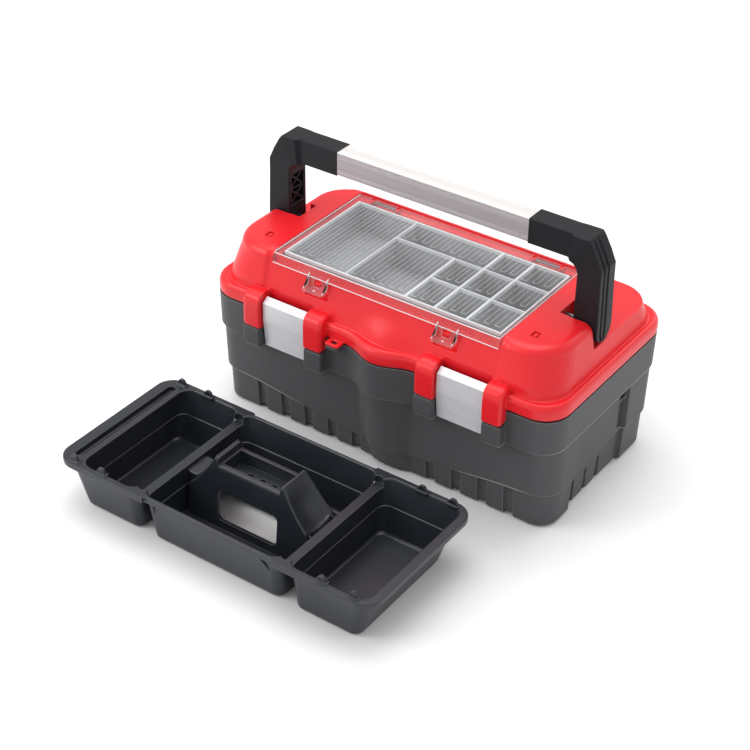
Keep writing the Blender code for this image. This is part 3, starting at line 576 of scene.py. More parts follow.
finish["clear"] = clearPlastic("clearPlastic", clearLook)
finish["ridges"] = clearPlastic("ridgePlastic", {**clearLook, "haze": 0.70, "hazeSpread": 0.15})
print("materials ready:", ", ".join(sorted(finish)))


# base: the dark lower box

baseLow, baseHigh = corners("base_shell")
lidLow, lidHigh = corners("lid_shell")
partingZ = jointPlace["lid_hinge"][2]
rimX = baseHigh[0]
plateLow, plateHigh = corners("latch_plate_right")
latchX = float(plateLow[0] + plateHigh[0]) / 2
baseShape = {
    # height, set back from the rim at the ends, front and back, corner radius, swelling, dip
    "outside": [
        (0.0000, 0.0105, 0.0185, 0.0145, 0.022, 0.004, 0.0),
        (0.0035, 0.0066, 0.0148, 0.0112, 0.024, 0.006, 0.0),
        (0.0450, 0.0050, 0.0130, 0.0100, 0.026, 0.007, 0.022),
        (0.0468, 0.0030, 0.0090, 0.0070, 0.027, 0.010, 0.022),
        (0.1052, 0.0020, 0.0065, 0.0055, 0.028, 0.015, 0.0),
        (0.1074, 0.0010, 0.0010, 0.0010, 0.030, 0.0135, 0.0),
        (0.1497, 0.0000, 0.0000, 0.0000, 0.031, 0.0135, 0.0),
    ],
    "inside": [
        (0.1497, 0.0048, 0.0080, 0.0080, 0.025, 0.010, 0.0),
        (0.1120, 0.0065, 0.0095, 0.0080, 0.024, 0.010, 0.0),
        (0.1060, 0.0125, 0.0105, 0.0088, 0.024, 0.010, 0.0),
        (0.0400, 0.0152, 0.0225, 0.0185, 0.020, 0.003, 0.0),
        (0.0035, 0.0172, 0.0255, 0.0215, 0.018, 0.000, 0.0),
    ],
    "swellRim": 0.0135, "bulgeX": 0.0090, "bulgeHalf": 0.046, "edgeSoft": 0.0011,
    # no recess stands within the gap: its middle and half width
    "recessPitch": 0.034, "recessGap": (0.012, 0.024),
    "recess": (-0.0020, 0.0095), "recessDepth": 0.0034, "recessLift": 0.0030,
    "sidePanel": (-0.0630, 0.0520), "panelDepth": 0.0048, "sideSlots": (-0.0545, -0.0265, 0.0015),
    "slotWide": 0.0075, "slotDepth": 0.0030, "slotTop": 0.0330,
    "pocket": (0.0400, 0.0505, 0.0470, 0.0990), "pocketDepth": 0.0042,
    "latchHalf": 0.0308, "pocketFrontY": -0.1205,
    "frontReach": 0.1950, "sideReach": 0.0880,
}


# the swelling of the front: a crown with soft shoulders, wide at the rim and narrow at the foot
def bulge(x, z):
    half = np.interp(z, [0.0, 0.045, 0.050, 0.104, 0.109, 0.150], [0.027, 0.029, 0.031, 0.037, 0.046, 0.046])
    middle = np.interp(z, [0.0, 0.050, 0.104, 0.150], [0.016, 0.016, 0.012, 0.009])
    sharp = np.interp(z, [0.0, 0.100, 0.112], [1.0, 0.75, 0.0])
    part = np.clip(np.abs(x - middle) / half, 0.0, 1.0)
    crown = np.cos(part * math.pi / 2) ** 2
    shoulder = 1.0 - rise(part, 0.80, 0.40)
    return crown * (1 - sharp) + (0.35 * crown + 0.65 * shoulder) * sharp


def makeBase(shape):
    pitch = shape["recessPitch"]
    starts = np.arange(-5, 6) * pitch
    starts = starts[np.abs(starts - shape["recessGap"][0]) > shape["recessGap"][1]]
    edgesX = np.concatenate([starts + shape["recess"][0], starts + shape["recess"][1],
                             [s * (latchX + t * shape["latchHalf"]) for s in (-1, 1) for t in (-1, 1)]])
    alongX = stations(-shape["frontReach"], shape["frontReach"], 0.0045, edgesX)
    slots = np.array(shape["sideSlots"])
    edgesY = [*shape["sidePanel"], *slots, *(slots + shape["slotWide"]), *shape["pocket"][:2]]
    alongY = stations(-shape["sideReach"], shape["sideReach"], 0.0060, edgesY)

    def rows(table, extra=()):
        table = softened(table, shape["edgeSoft"], steps=4)
        levels = np.unique(np.round(np.concatenate([table[:, 0], extra]), 6))
        order = np.argsort(table[:, 0], kind="stable")
        return np.stack([np.interp(levels, table[order, 0], table[order, k]) for k in range(7)], axis=1)

    extra = np.concatenate([np.arange(0.006, 0.046, 0.0035), np.arange(0.052, 0.104, 0.010),
                            [0.0455, 0.0460, 0.0964, 0.0982, 0.1064, 0.1078, 0.1084, 0.1160, 0.1300],
                            shape["slotTop"] + np.array([-0.0012, 0.0, 0.0012]),
                            shape["pocket"][3] + np.array([-0.0012, 0.0, 0.0012])])
    outer = rows(shape["outside"], extra)
    inner = softened(shape["inside"], 0.0030, steps=5)
    table = np.vstack([outer, inner])
    isOut = (np.arange(len(table)) < len(outer))[:, None]
    z0, ends, front, back, radius, swell, dip = table.T
    rimY = -baseLow[1] - shape["swellRim"]
    x, y, normalX, normalY = roundedOutline(rimX - ends, rimY - front, rimY - back, radius, alongX, alongY)
    level = z0[:, None] + 0 * x
    z = level - dip[:, None] * np.clip(1.0 - np.abs(x) / (rimX - 0.028), 0.0, 1.0)
    isFront, isBack = normalY < -0.99, normalY > 0.99
    isSide = np.abs(normalX) > 0.99

    # front swelling, then the foot's recesses and the end panels, all along the wall's normal
    y = y - swell[:, None] * bulge(x, level) * isFront
    foot = 1.0 - rise(level, 0.0452, 0.0012)
    local = x[..., None] - starts
    recess = between(local, shape["recess"][0], shape["recess"][1], 0.0011).max(axis=-1)
    recess = recess * foot * isOut * (isFront | isBack)
    y = y - normalY * shape["recessDepth"] * recess
    z = z + recess * shape["recessLift"] * np.clip(1.0 - level / 0.020, 0.0, 1.0)

    below = 1.0 - rise(level, 0.1052, 0.0012)
    panel = between(y, *shape["sidePanel"], 0.0024) * below * isOut * isSide
    slot = between(y[..., None] - slots, 0.0, shape["slotWide"], 0.0014).max(axis=-1)
    slot = slot * (1.0 - rise(level, shape["slotTop"], 0.0022)) * isOut * isSide
    hole = between(y, *shape["pocket"][:2], 0.0016) * between(level, *shape["pocket"][2:], 0.0020)
    inward = (panel * shape["panelDepth"] + slot * shape["slotDepth"] +
              hole * isOut * isSide * shape["pocketDepth"])
    x = x - normalX * inward
    z = z + slot * 0.0045 * np.clip(1.0 - level / 0.014, 0.0, 1.0)

    # flat pockets behind the latches
    behind = between(np.abs(x), latchX - shape["latchHalf"], latchX + shape["latchHalf"], 0.0005)
    behind = behind * rise(level, 0.1080, 0.0008) * isOut * isFront
    y = np.where(isFront[None] & (behind > 0.5), np.maximum(y, shape["pocketFrontY"]), y)
    return closedSkin("baseSkin", np.stack([x, y, z], axis=-1))


lugSpans = ((0.0620, 0.0862), (0.1488, 0.1720))
blockShape = {"outline": [(-0.1180, 0.1046), (-0.1315, 0.1046), (-0.1360, 0.1090), (-0.1360, 0.1326),
                          (-0.1180, 0.1326)], "soft": 0.0030, "edge": 0.0022}
eyeShape = {"middle": (-0.0470, -0.1300), "half": (0.0090, 0.0065), "hole": (0.0040, 0.0029),
            "base": (0.1460, 0.1497), "lid": (0.1503, 0.1533), "soft": 0.0030}
hingeShape = {"station": 0.1200, "radius": 0.0045, "knuckles": ((-0.0225, -0.0125), (0.0125, 0.0225)),
              "lidHalf": 0.0120}


# a small plate with a hole: its flat section carried round a closed loop
def eyePlate(name, shape, low, high):
    mx, my = shape["middle"]
    outer = roundedRectangle((mx - shape["half"][0], mx + shape["half"][0]),
                             (my - shape["half"][1], my + shape["half"][1] + 0.0045), shape["soft"])
    inner = roundedRectangle((mx - shape["hole"][0], mx + shape["hole"][0]),
                             (my - shape["hole"][1], my + shape["hole"][1]), 0.0012)
    e = 0.0005
    section = [(1.0, low + e), (1.0, high - e), (0.93, high), (0.07, high), (0.0, high - e), (0.0, low + e),
               (0.07, low), (0.93, low)]
    grid = np.stack([np.column_stack([inner + (outer - inner) * share, np.full(len(outer), z)])
                     for share, z in section], axis=1)
    return loopSkin(name, grid)


# a hinge knuckle: a pipe whose wall section is carried round the axis
def knuckle(name, x0, x1, at, radius, bore, sides=28):
    e = 0.0004
    section = np.array([(x0 + e, radius), (x1 - e, radius), (x1, radius - e), (x1, bore), (x0, bore),
                        (x0, radius - e)])
    turn = np.linspace(0, 2 * math.pi, sides, endpoint=False)[:, None]
    grid = np.stack([section[None, :, 0] + 0 * turn, at[0] + section[None, :, 1] * np.cos(turn),
                     at[1] + section[None, :, 1] * np.sin(turn)], axis=-1)
    return loopSkin(name, grid)


baseParts = [makeBase(baseShape)]
hingeAt = jointPlace["lid_hinge"][1:]
for side in (-1, 1):
    for span in lugSpans:
        baseParts.append(slab("block", blockShape["outline"], "YZ", side * span[0], side * span[1],
                              edge=blockShape["edge"], soft=blockShape["soft"]))
    baseParts.append(block("catchLedge", (side * (latchX - 0.020), side * (latchX + 0.020)),
                           (-0.1220, -0.1190), (0.1180, 0.1220), 0.0006, 0.0004))
    baseParts.append(block("trayLedge", (side * 0.2080, side * 0.2240), (-0.060, 0.060),
                           (0.0880, 0.0920), 0.002, 0.0008))
    for low, high in hingeShape["knuckles"]:
        middle = side * hingeShape["station"]
        baseParts.append(block("web", (middle + low, middle + high), (0.1190, hingeAt[0] - 0.0025),
                               (0.1460, 0.1492), 0.0006, 0.0004))
        baseParts.append(knuckle("knuckle", middle + low, middle + high, hingeAt, hingeShape["radius"],
                                 0.0021))
baseParts.append(eyePlate("eye", eyeShape, *eyeShape["base"]))
present(gather("base", baseParts), "base", "base_plastic", finish["darkGrey"], "base_shell")
print("base built")


# lid: the red upper shell

lidTop = lidHigh[2]
lidShape = {
    # height over the parting line, set back at the ends, front and back, corner radius, swelling
    "rim": [
        (0.0003, 0.0030, 0.0032, 0.0032, 0.030, 0.0138),
        (0.0022, 0.0004, 0.0005, 0.0005, 0.033, 0.0136),
        (0.0060, 0.0000, 0.0000, 0.0000, 0.033, 0.0135),
        (0.0130, 0.0000, 0.0000, 0.0000, 0.033, 0.0130),
        (0.0172, 0.0010, 0.0010, 0.0010, 0.033, 0.0122),
        (0.0194, 0.0032, 0.0030, 0.0030, 0.033, 0.0108),
        (0.0192, 0.0058, 0.0052, 0.0052, 0.034, 0.0092),
        (0.0178, 0.0078, 0.0068, 0.0068, 0.035, 0.0078),
        (0.0195, 0.0092, 0.0080, 0.0080, 0.036, 0.0076),
    ],
    "wallTop": (0.0595, 0.0160, 0.0190, 0.0175, 0.044, 0.0), "fillet": 0.0125,
    "endBlock": 0.0030, "endBlockFrom": 0.1555,
    "dome": {"from": 0.01951, "high": 0.0320, "depth": 0.0076},
    "shelfZ": 0.1920, "platformX": 0.1815, "platformBack": 0.0660, "channelFront": -0.0270,
}


# rows of the outer skin: the rim's bead, the leaning wall, and a quarter circle up to the flat top
def lidRows(shape):
    _, ends, front, back, radius, _ = shape["wallTop"]
    rise90 = np.linspace(0.0, math.pi / 2, 9)
    r = shape["fillet"]
    arc = np.stack([lidTop - partingZ - r + r * np.sin(rise90)] +
                   [start + r * (1 - np.cos(rise90)) for start in (ends, front, back)] +
                   [radius - (radius - 0.030) * (1 - np.cos(rise90)), 0 * rise90], axis=1)
    bead = softened(shape["rim"], 0.0012, steps=3)
    wall = bead[-1] + (arc[0] - bead[-1]) * np.linspace(0, 1, 12)[1:-1, None]
    return np.vstack([bead, wall, arc])


def makeLidSkin(shape):
    table = lidRows(shape)
    height, ends, front, back, radius, swell = table.T
    halfX, half = lidHigh[0], -lidLow[1] - baseShape["swellRim"]
    marks = [s * m for s in (-1, 1) for m in (shape["endBlockFrom"], 0.060, 0.090)]
    alongX = stations(-0.1860, 0.1860, 0.0050, marks, 0.004)
    alongY = stations(-0.0780, 0.0780, 0.0100)
    x, y, _, normalY = roundedOutline(halfX - ends, half - front, half - back, radius, alongX, alongY, 12)
    z = partingZ + height[:, None] + 0 * x
    isFront = normalY < -0.99
    part = np.clip(np.abs(x - baseShape["bulgeX"]) / baseShape["bulgeHalf"], 0, 1)
    onBead = height[:, None] <= shape["dome"]["from"]
    y = y - swell[:, None] * np.cos(part * math.pi / 2) ** 2 * isFront * onBead
    wall = rise(height, 0.0260, 0.0110)[:, None] * (1 - rise(height, 0.0715, 0.0020))[:, None]
    y = y - (shape["endBlock"] * wall * rise(np.abs(x), shape["endBlockFrom"], 0.0070) *
             (normalY < -0.02) * -normalY)
    # above the bead the swelling runs out as a dome: cos^2 of the distance from the bead's middle
    dome = shape["dome"]
    up = np.clip((height - dome["from"]) / dome["high"], 0, 1)[:, None]
    crown = np.cos(np.minimum(np.hypot(part, up), 1.0) * math.pi / 2) ** 2
    y = y - dome["depth"] * crown * isFront * (height[:, None] > dome["from"])
    return closedSkin("lidSkin", np.stack([x, y, z], axis=-1), split=True)


# the hollow inside the lid, without what stays solid round the organizer and below the shelf
def makeLidCore(shape):
    table = np.array([
        (-0.0100, 0.0110, 0.0127, 0.0127, 0.028, 0.006), (0.0100, 0.0115, 0.0127, 0.0127, 0.030, 0.006),
        (0.0150, 0.0130, 0.0170, 0.0140, 0.032, 0.0), (0.0220, 0.0150, 0.0180, 0.0150, 0.036, 0.0),
        (0.0580, 0.0200, 0.0230, 0.0215, 0.043, 0.0), (0.0685, 0.0270, 0.0300, 0.0285, 0.037, 0.0)])
    height, ends, front, back, radius, swell = softened(table, 0.004, 4).T
    halfX, half = lidHigh[0], -lidLow[1] - baseShape["swellRim"]
    x, y, _, normalY = roundedOutline(halfX - ends, half - front, half - back, radius,
                                      stations(-0.18, 0.18, 0.012), stations(-0.07, 0.07, 0.02))
    part = np.clip(np.abs(x - baseShape["bulgeX"]) / baseShape["bulgeHalf"], 0, 1)
    y = y - swell[:, None] * np.cos(part * math.pi / 2) ** 2 * (normalY < -0.99)
    core = closedSkin("lidCore", np.stack([x, y, partingZ + height[:, None] + 0 * x], axis=-1), split=True)
    return carve(core, [block("underBin", (-0.1545, 0.1545), (-0.13, 0.0665), (0.1735, 0.26), 0.004),
                        slab("underShelf", platformOutline(0.0115, shape), "XY", shape["shelfZ"] - 0.0035,
                             0.27,
                             edge=0.001, soft=0.004)])


# what is lowered behind the platform and beside the arms
def platformOutline(inset, shape):
    edge, back = shape["platformX"] - inset, shape["platformBack"] - inset
    front, far = shape["channelFront"] - inset * 0.3, 0.26
    half = [(edge, front), (edge, back - 0.021), (edge - 0.0215, back)]
    left = [(-x, y) for x, y in half]
    return [(-far, front)] + left + half[::-1] + [(far, front), (far, 0.16), (-far, 0.16)]


lugShape = {"outline": [(-0.1248, 0.1331), (-0.1345, 0.1331), (-0.1360, 0.1350), (-0.1361, 0.1640),
                        (-0.1345, 0.1715), (-0.1290, 0.1760), (-0.1215, 0.1772), (-0.1120, 0.1765),
                        (-0.1120, 0.1600), (-0.1180, 0.1506), (-0.1248, 0.1500)],
            "soft": 0.0042, "edge": 0.0034, "crown": 0.0052}
organizerWell = {"well": ((-0.1450, 0.1450), (-0.0985, 0.0545), 0.1795), "recess": ((-0.1502, 0.1502),
                                                                                    (-0.1040,
                                                                                     0.0625), 0.2165),
                 "step": ((-0.1502, 0.1502), (-0.1020, 0.0642), 0.2196), "skirt": ((-0.1502, 0.1502),
                                                                                   (-0.15, -0.1008), 0.2083)}
tongueX, coverStation = 0.0850, 0.1100
slotShape = {"x": (0.1730, 0.1860), "y": (-0.0260, 0.0060), "z": 0.2030}
markShape = {"x": (0.1705, 0.1795), "y": (-0.0835, -0.0720), "low": 0.2192, "bar": (0.2180, 0.2216),
             "barTrim": (0.0024, 0.0026)}


cutTop = 0.26  # cutters that open upwards end here, above the lid


def makeLid():
    lid = makeLidSkin(lidShape)
    core = makeLidCore(lidShape)
    well = organizerWell
    tools = [core, slab("shelf", platformOutline(0.0, lidShape), "XY", lidShape["shelfZ"], 0.27, edge=0.0,
                        soft=0.005),
             block("well", *well["well"][:2], (well["well"][2], cutTop), 0.0045, 0.0015),
             block("recess", *well["recess"][:2], (well["recess"][2], cutTop), 0.0050, 0.0006),
             block("step", *well["step"][:2], (well["step"][2], cutTop), 0.0055, 0.0004),
             block("skirt", *well["skirt"][:2], (well["skirt"][2], cutTop), 0.0012, 0.0006)]
    small = []
    for side in (-1, 1):
        slot = tuple(side * v for v in slotShape["x"])
        small.append(block("slot", slot, slotShape["y"], (slotShape["z"], cutTop), 0.0014, 0.001))
        small.append(block("bore", (side * 0.1600, side * 0.19), (handleAt[0] - 0.0033, handleAt[0] + 0.0033),
                           (handleAt[1] - 0.0033, handleAt[1] + 0.0033), 0.0032, 0.0, axis="X"))
        mark = tuple(side * v for v in markShape["x"])
        small.append(block("mark", mark, markShape["y"], (markShape["low"], cutTop), 0.0008, 0.0003))
        tongue = (side * tongueX - 0.0155, side * tongueX + 0.0155)
        small.append(block("tonguePocket", tongue, (-0.15, -0.1040), (0.1870, 0.2100), 0.0015, 0.0005,
                           axis="Y"))
        latch = (side * latchX - 0.0308, side * latchX + 0.0308)
        small.append(block("latchPocket", latch, (-0.16, -0.1148), (0.14, 0.1800), 0.0030, 0.0008, axis="Y"))
        station = side * coverStation
        small.append(block("hingePocket", (station - 0.0152, station + 0.0152), (0.0530, 0.0622), (0.2145,
                                                                                                   cutTop),
                           0.0008, 0.0003))
    carve(lid, tools)
    carve(lid, small)
    shells = [lid]
    for side in (-1, 1):
        for span in lugSpans:
            low, high = sorted(side * v for v in span)
            shells.append(makeLug(low, high, side, span is lugSpans[1]))
        mark = sorted(side * v for v in markShape["x"])
        (y0, y1), trim = markShape["y"], markShape["barTrim"]
        shells.append(block("markBar", (mark[0] + trim[0], mark[1] - trim[0]), (y0 + trim[1], y1 - trim[1]),
                            markShape["bar"], 0.0006, 0.0004))
        nose = (side * tongueX - 0.004, side * tongueX + 0.004)
        shells.append(block("nose", nose, (-0.1093, -0.1020), (0.2015, 0.2048), 0.0008, 0.0006))
        low = side * hingeShape["station"] - hingeShape["lidHalf"]
        high = side * hingeShape["station"] + hingeShape["lidHalf"]
        shells.append(knuckle("knuckle", low, high, hingeAt, hingeShape["radius"], 0.0021))
        shells.append(block("web", (low, high), (0.1190, hingeAt[0] - 0.0025), (0.1508, 0.1545), 0.0008,
                            0.0005))
        for start, end in ((-0.0205, -0.0154), (0.0154, 0.0205)):
            station = side * coverStation
            shells.append(block("coverLug", (station + start, station + end), (0.0540, 0.0589), (0.2140,
                                                                                                 0.2188),
                                0.0006, 0.0003))
            shells.append(knuckle("coverEar", station + start, station + end, coverAt, 0.0026, 0.0012, 18))
    shells.append(eyePlate("eye", eyeShape, *eyeShape["lid"]))
    return gather("lid", shells)


# a latch lug: its side outline carried along X, drawn in at both ends along a quarter circle so
# that the end away from the box's middle is as round as a pillow
def makeLug(low, high, side, isOuter):
    outline = softened(lugShape["outline"], lugShape["soft"], closed=True)
    middle = np.array([-0.1200, 0.1540])
    outerEnd = side if isOuter else -side
    turn = np.linspace(0, math.pi / 2, 7)
    big, little = lugShape["crown"], 0.0010
    first, last = (big, little) if outerEnd < 0 else (little, big)
    along = np.concatenate([low + first * (1 - np.cos(turn)), (high - last * (1 - np.cos(turn)))[::-1]])
    draw = np.concatenate([first * (1 - np.sin(turn)), (last * (1 - np.sin(turn)))[::-1]]) * 0.85
    away = outline - middle
    length = np.linalg.norm(away, axis=1, keepdims=True)
    flat = middle + away[None] * (1 - draw[:, None, None] / length[None])
    flat[..., 1] = np.maximum(flat[..., 1], lugShape["outline"][0][1] + 0.2 * draw[:, None])
    x = np.broadcast_to(along[:, None], flat.shape[:2])
    return closedSkin("lug", np.stack([x, flat[..., 0], flat[..., 1]], axis=-1))


handleAt = jointPlace["handle_fold"][1:]
coverAt = jointPlace["cover_hinge"][1:]
present(makeLid(), "lid", "lid_plastic", finish["red"], "lid_shell", angle=32)
print("lid built")


# pins

pinLook = {"lid_hinge_pin": ("base", 0.0019), "handle_pin": ("lid", 0.0030), "latch_pin": ("lid", 0.0016),
           "cover_pin": ("lid", 0.0011)}
for kind, (body, radius) in pinLook.items():
    for word in ("left", "right"):
        low, high = corners(f"{kind}_{word}")
        middle = (low + high) / 2
        pin = rod(f"{kind}_{word}_turned", "X", low[0], high[0], middle[1:], radius * 0.995, 0.0003, 24)
        present(pin, body, "pin_steel", finish["pin"], f"{kind}_{word}")


# latches

latchShape = {"outer": [(-0.1211, 0.1716), (-0.1295, 0.1664), (-0.1300, 0.1440), (-0.1262, 0.1085)],
              "inner": [(-0.1249, 0.1087), (-0.1287, 0.1440), (-0.1283, 0.1656), (-0.1208, 0.1703)],
              "soft": 0.00055, "edge": 0.0005,
              "carrier": [(-0.1245, 0.1100), (-0.1283, 0.1440), (-0.1278, 0.1630), (-0.1252, 0.1630),
                          (-0.1256, 0.1440), (-0.1236, 0.1250), (-0.1226, 0.1165), (-0.1212, 0.1165),
                          (-0.1212, 0.1125), (-0.1226, 0.1100)]}


def makeLatches(shape):
    for word in ("left", "right"):
        low, high = corners(f"latch_plate_{word}")
        plate = slab(f"latch_plate_{word}_bent", shape["outer"] + shape["inner"], "YZ", low[0], high[0],
                     shape["edge"], shape["soft"])
        present(plate, f"latch_{word}", "latch_aluminium", finish["latch"], f"latch_plate_{word}", angle=50)
        low, high = corners(f"latch_carrier_{word}")
        pivot = jointPlace[f"latch_{word}_swing"][1:]
        shells = [slab("face", shape["carrier"], "YZ", low[0], high[0], 0.0005, 0.0005),
                  knuckle("barrel", low[0], high[0], pivot, 0.0034, 0.0019)]
        for k in range(7):  # stiffening ribs behind the plate
            middle = low[0] + (high[0] - low[0]) * (k + 0.5) / 7
            shells.append(slab("rib", [(-0.1262, 0.1270), (-0.1262, 0.1580), (-0.1246, 0.1560), (-0.1238,
                                                                                                 0.1290)],
                               "YZ", middle - 0.0006, middle + 0.0006, 0.0002, 0.0006))
        present(gather(f"latch_carrier_{word}_moulded", shells), f"latch_{word}", "handle_plastic",
                finish["armBlack"], f"latch_carrier_{word}")


makeLatches(latchShape)
print("latches and pins built")


# carrying handle: two moulded arms and an extruded bar

barLow, barHigh = corners("handle_bar")
armShape = {
    # outer x, z and inner x, z, half depth, middle y, groove: from the sleeve's end to the foot
    "path": [
        (0.1250, 0.3173, 0.1250, 0.2871, 0.0130, -0.0073, 0.0),
        (0.1755, 0.3173, 0.1740, 0.2871, 0.0130, -0.0073, 0.0),
        (0.1800, 0.3173, 0.1775, 0.2862, 0.0155, -0.0090, 0.0),
        (0.1990, 0.3173, 0.1830, 0.2840, 0.0160, -0.0090, 0.0),
        (0.2026, 0.3125, 0.1840, 0.2832, 0.0160, -0.0090, 0.6),
        (0.2105, 0.2985, 0.1865, 0.2795, 0.0160, -0.0090, 1.0),
        (0.2122, 0.2945, 0.1875, 0.2775, 0.0160, -0.0090, 1.0),
        (0.2167, 0.2846, 0.1885, 0.2745, 0.0160, -0.0090, 1.0),
        (0.2170, 0.2640, 0.1885, 0.2600, 0.0160, -0.0090, 1.0),
        (0.2184, 0.2200, 0.1885, 0.2200, 0.0160, -0.0090, 1.0),
    ],
    "cut": 0.0011, "edge": 0.0013, "grooves": ((-0.62, -0.40), (-0.14, 0.14)), "grooveDepth": 0.0021,
    "hollow": ((0.1760, 0.2125), (-0.0205, 0.0025), (0.2290, 0.2680)), "brace": 0.0016,
}


# the section runs from the inner to the outer side; its columns are places on a rectangle whose
# corners are rounded, with two grooves sunk in the outer side
def makeArm(side, shape):
    rows = softened(shape["path"], shape["cut"], steps=4)
    pivotY, pivotZ = handleAt
    foot = np.linspace(0.0, math.pi / 2, 16)[1:]
    radius = rows[-1][4]
    below = np.repeat(rows[-1:], len(foot) + 1, axis=0)
    below[:, 1] = below[:, 3] = np.concatenate([[pivotZ], pivotZ - radius * np.sin(foot)])
    below[1:, 4] = np.maximum(radius * np.cos(foot), 0.0006)
    rows = np.vstack([rows, below])
    outX, outZ, inX, inZ, half, middle, groove = (rows[:, k][:, None] for k in range(7))
    wide = np.hypot(outX - inX, outZ - inZ)
    e = np.minimum(shape["edge"], half * 0.45)
    turn = np.linspace(0, math.pi / 2, 4)
    # outer face's places from front to back, as shares of the half depth
    marks = np.array([v + d for g in shape["grooves"] for v, d in
                      ((g[0], -0.035), (g[0], 0.035), (g[1], -0.035), (g[1], 0.035))])
    sunk = np.array([0, 1, 1, 0] * len(shape["grooves"]), float)
    depth = [e * (1 - np.sin(turn))[None]]
    acrossY = [-half + e * (1 - np.cos(turn))[None]]
    depth += [shape["grooveDepth"] * groove * sunk[None]]
    acrossY += [half * marks[None]]
    depth += [e * (1 - np.cos(turn))[None]]
    acrossY += [half - e * (1 - np.sin(turn))[None]]
    depth += [wide - e * (1 - np.sin(turn))[None]]
    acrossY += [half - e * (1 - np.cos(turn))[None]]
    depth += [wide - e * (1 - np.cos(turn))[None]]
    acrossY += [-half + e * (1 - np.sin(turn))[None]]
    depth, acrossY = np.hstack(depth), np.hstack(acrossY)
    share = depth / wide
    x = side * (outX + (inX - outX) * share)
    z = outZ + (inZ - outZ) * share
    arm = closedSkin("arm", np.stack([x, middle + acrossY, z], axis=-1), split=True)
    hollow = shape["hollow"]
    pocket = block("hollow", tuple(side * v for v in hollow[0]), *hollow[1:], 0.0020, 0.0008, axis="X")
    bore = block("bore", (side * 0.18, side * 0.2130), (pivotY - 0.0033, pivotY + 0.0033),
                 (pivotZ - 0.0033, pivotZ + 0.0033), 0.0032, 0.0, axis="X")
    carve(arm, [pocket, bore])
    shells = [arm]
    # crossed braces and one level web inside the hollow
    (y0, y1), (z0, z1) = hollow[1], hollow[2]
    x0, x1 = side * 0.1900, side * 0.2130
    b = shape["brace"]
    mid = (z0 + z1) / 2
    for low, high in ((z0, mid), (mid, z1)):
        for first, last in ((y0, y1), (y1, y0)):
            s = 1 if last > first else -1
            outline = [(first, low), (first + s * b, low), (last, high - b), (last, high), (last - s * b,
                                                                                            high),
                       (first, low + b)]
            shells.append(slab("brace", outline, "YZ", x0, x1, 0.0002))
    shells.append(block("web", (x0, x1), (y0 - 0.0005, y1 + 0.0005), (mid - b / 2, mid + b / 2), 0.0005,
                        0.0003))
    shells.append(block("tenon", (side * 0.1000, side * 0.1300), (-0.0170, 0.0024), (0.2906, 0.3138), 0.002,
                        0.0005,
                        axis="X"))
    return gather("armShells", shells)


for word, side in (("left", -1), ("right", 1)):
    present(makeArm(side, armShape), "handle", "handle_plastic", finish["armBlack"], f"handle_arm_{word}",
            angle=28)

barShape = {"edge": 0.0016, "line": 0.0005, "lineWide": 0.0010,
            "frontLines": (0.0042, 0.0066, 0.0222, 0.0246), "topLines": (0.0040, 0.0062, 0.0182, 0.0204)}


# the bar's section: a rectangle with rounded corners and narrow grooves along its front, back and
# top faces, carried straight from end to end
def makeBar(shape):
    y0, y1, z0, z1 = barLow[1], barHigh[1], barLow[2], barHigh[2]
    e, deep, wide = shape["edge"], shape["line"], shape["lineWide"]

    def notched(lines):
        places = np.array([p + d * wide / 2 for p in lines for d in (-1.0, -0.45, 0.45, 1.0)])
        return places, np.array([0, deep, deep, 0] * len(lines))

    turn = np.linspace(0, math.pi / 2, 5)
    front, frontSunk = notched(shape["frontLines"])
    top, topSunk = notched(shape["topLines"])
    section = [np.stack([y0 + frontSunk, z0 + front], axis=1),
               np.stack([y0 + e - e * np.cos(turn), z1 - e + e * np.sin(turn)], axis=1),
               np.stack([y0 + top, z1 - topSunk], axis=1),
               np.stack([y1 - e + e * np.sin(turn), z1 - e + e * np.cos(turn)], axis=1),
               np.stack([y1 - frontSunk, z0 + front], axis=1)[::-1],
               np.stack([y1 - e + e * np.cos(turn), z0 + e - e * np.sin(turn)], axis=1),
               np.stack([y0 + e - e * np.sin(turn), z0 + e - e * np.cos(turn)], axis=1)]
    section = np.vstack(section)
    along = np.array([barLow[0], barHigh[0]])
    grid = np.empty((2, len(section), 3))
    grid[..., 0] = along[:, None]
    grid[..., 1:] = section[None]
    bar = closedSkin("bar", grid, split=True)
    return carve(bar, [block("barHollow", (-0.2, 0.2), (-0.0174, 0.0028), (0.2902, 0.3142), 0.0022, 0.0,
                             axis="X")])


present(makeBar(barShape), "handle", "bar_aluminium", finish["bar"], "handle_bar", angle=30)
print("handle built")


# organizer: insert with fixed compartments

binLow, binHigh = corners("organizer_bin")
binShape = {"floor": 0.0018, "wall": 0.0026, "thick": 0.0040, "draft": 0.0006,
            # x of the walls along Y, then y of the walls along X and the x they start from
            "columns": [(-0.0595, "thin"), (0.0195, "thick"), (0.0578, "thick"), (0.0980, "thick")],
            "rows": [(-0.0430, 0.0195, "thin"), (0.0058, -0.0595, "thin")],
            "split": (0.0195, 0.0058)}


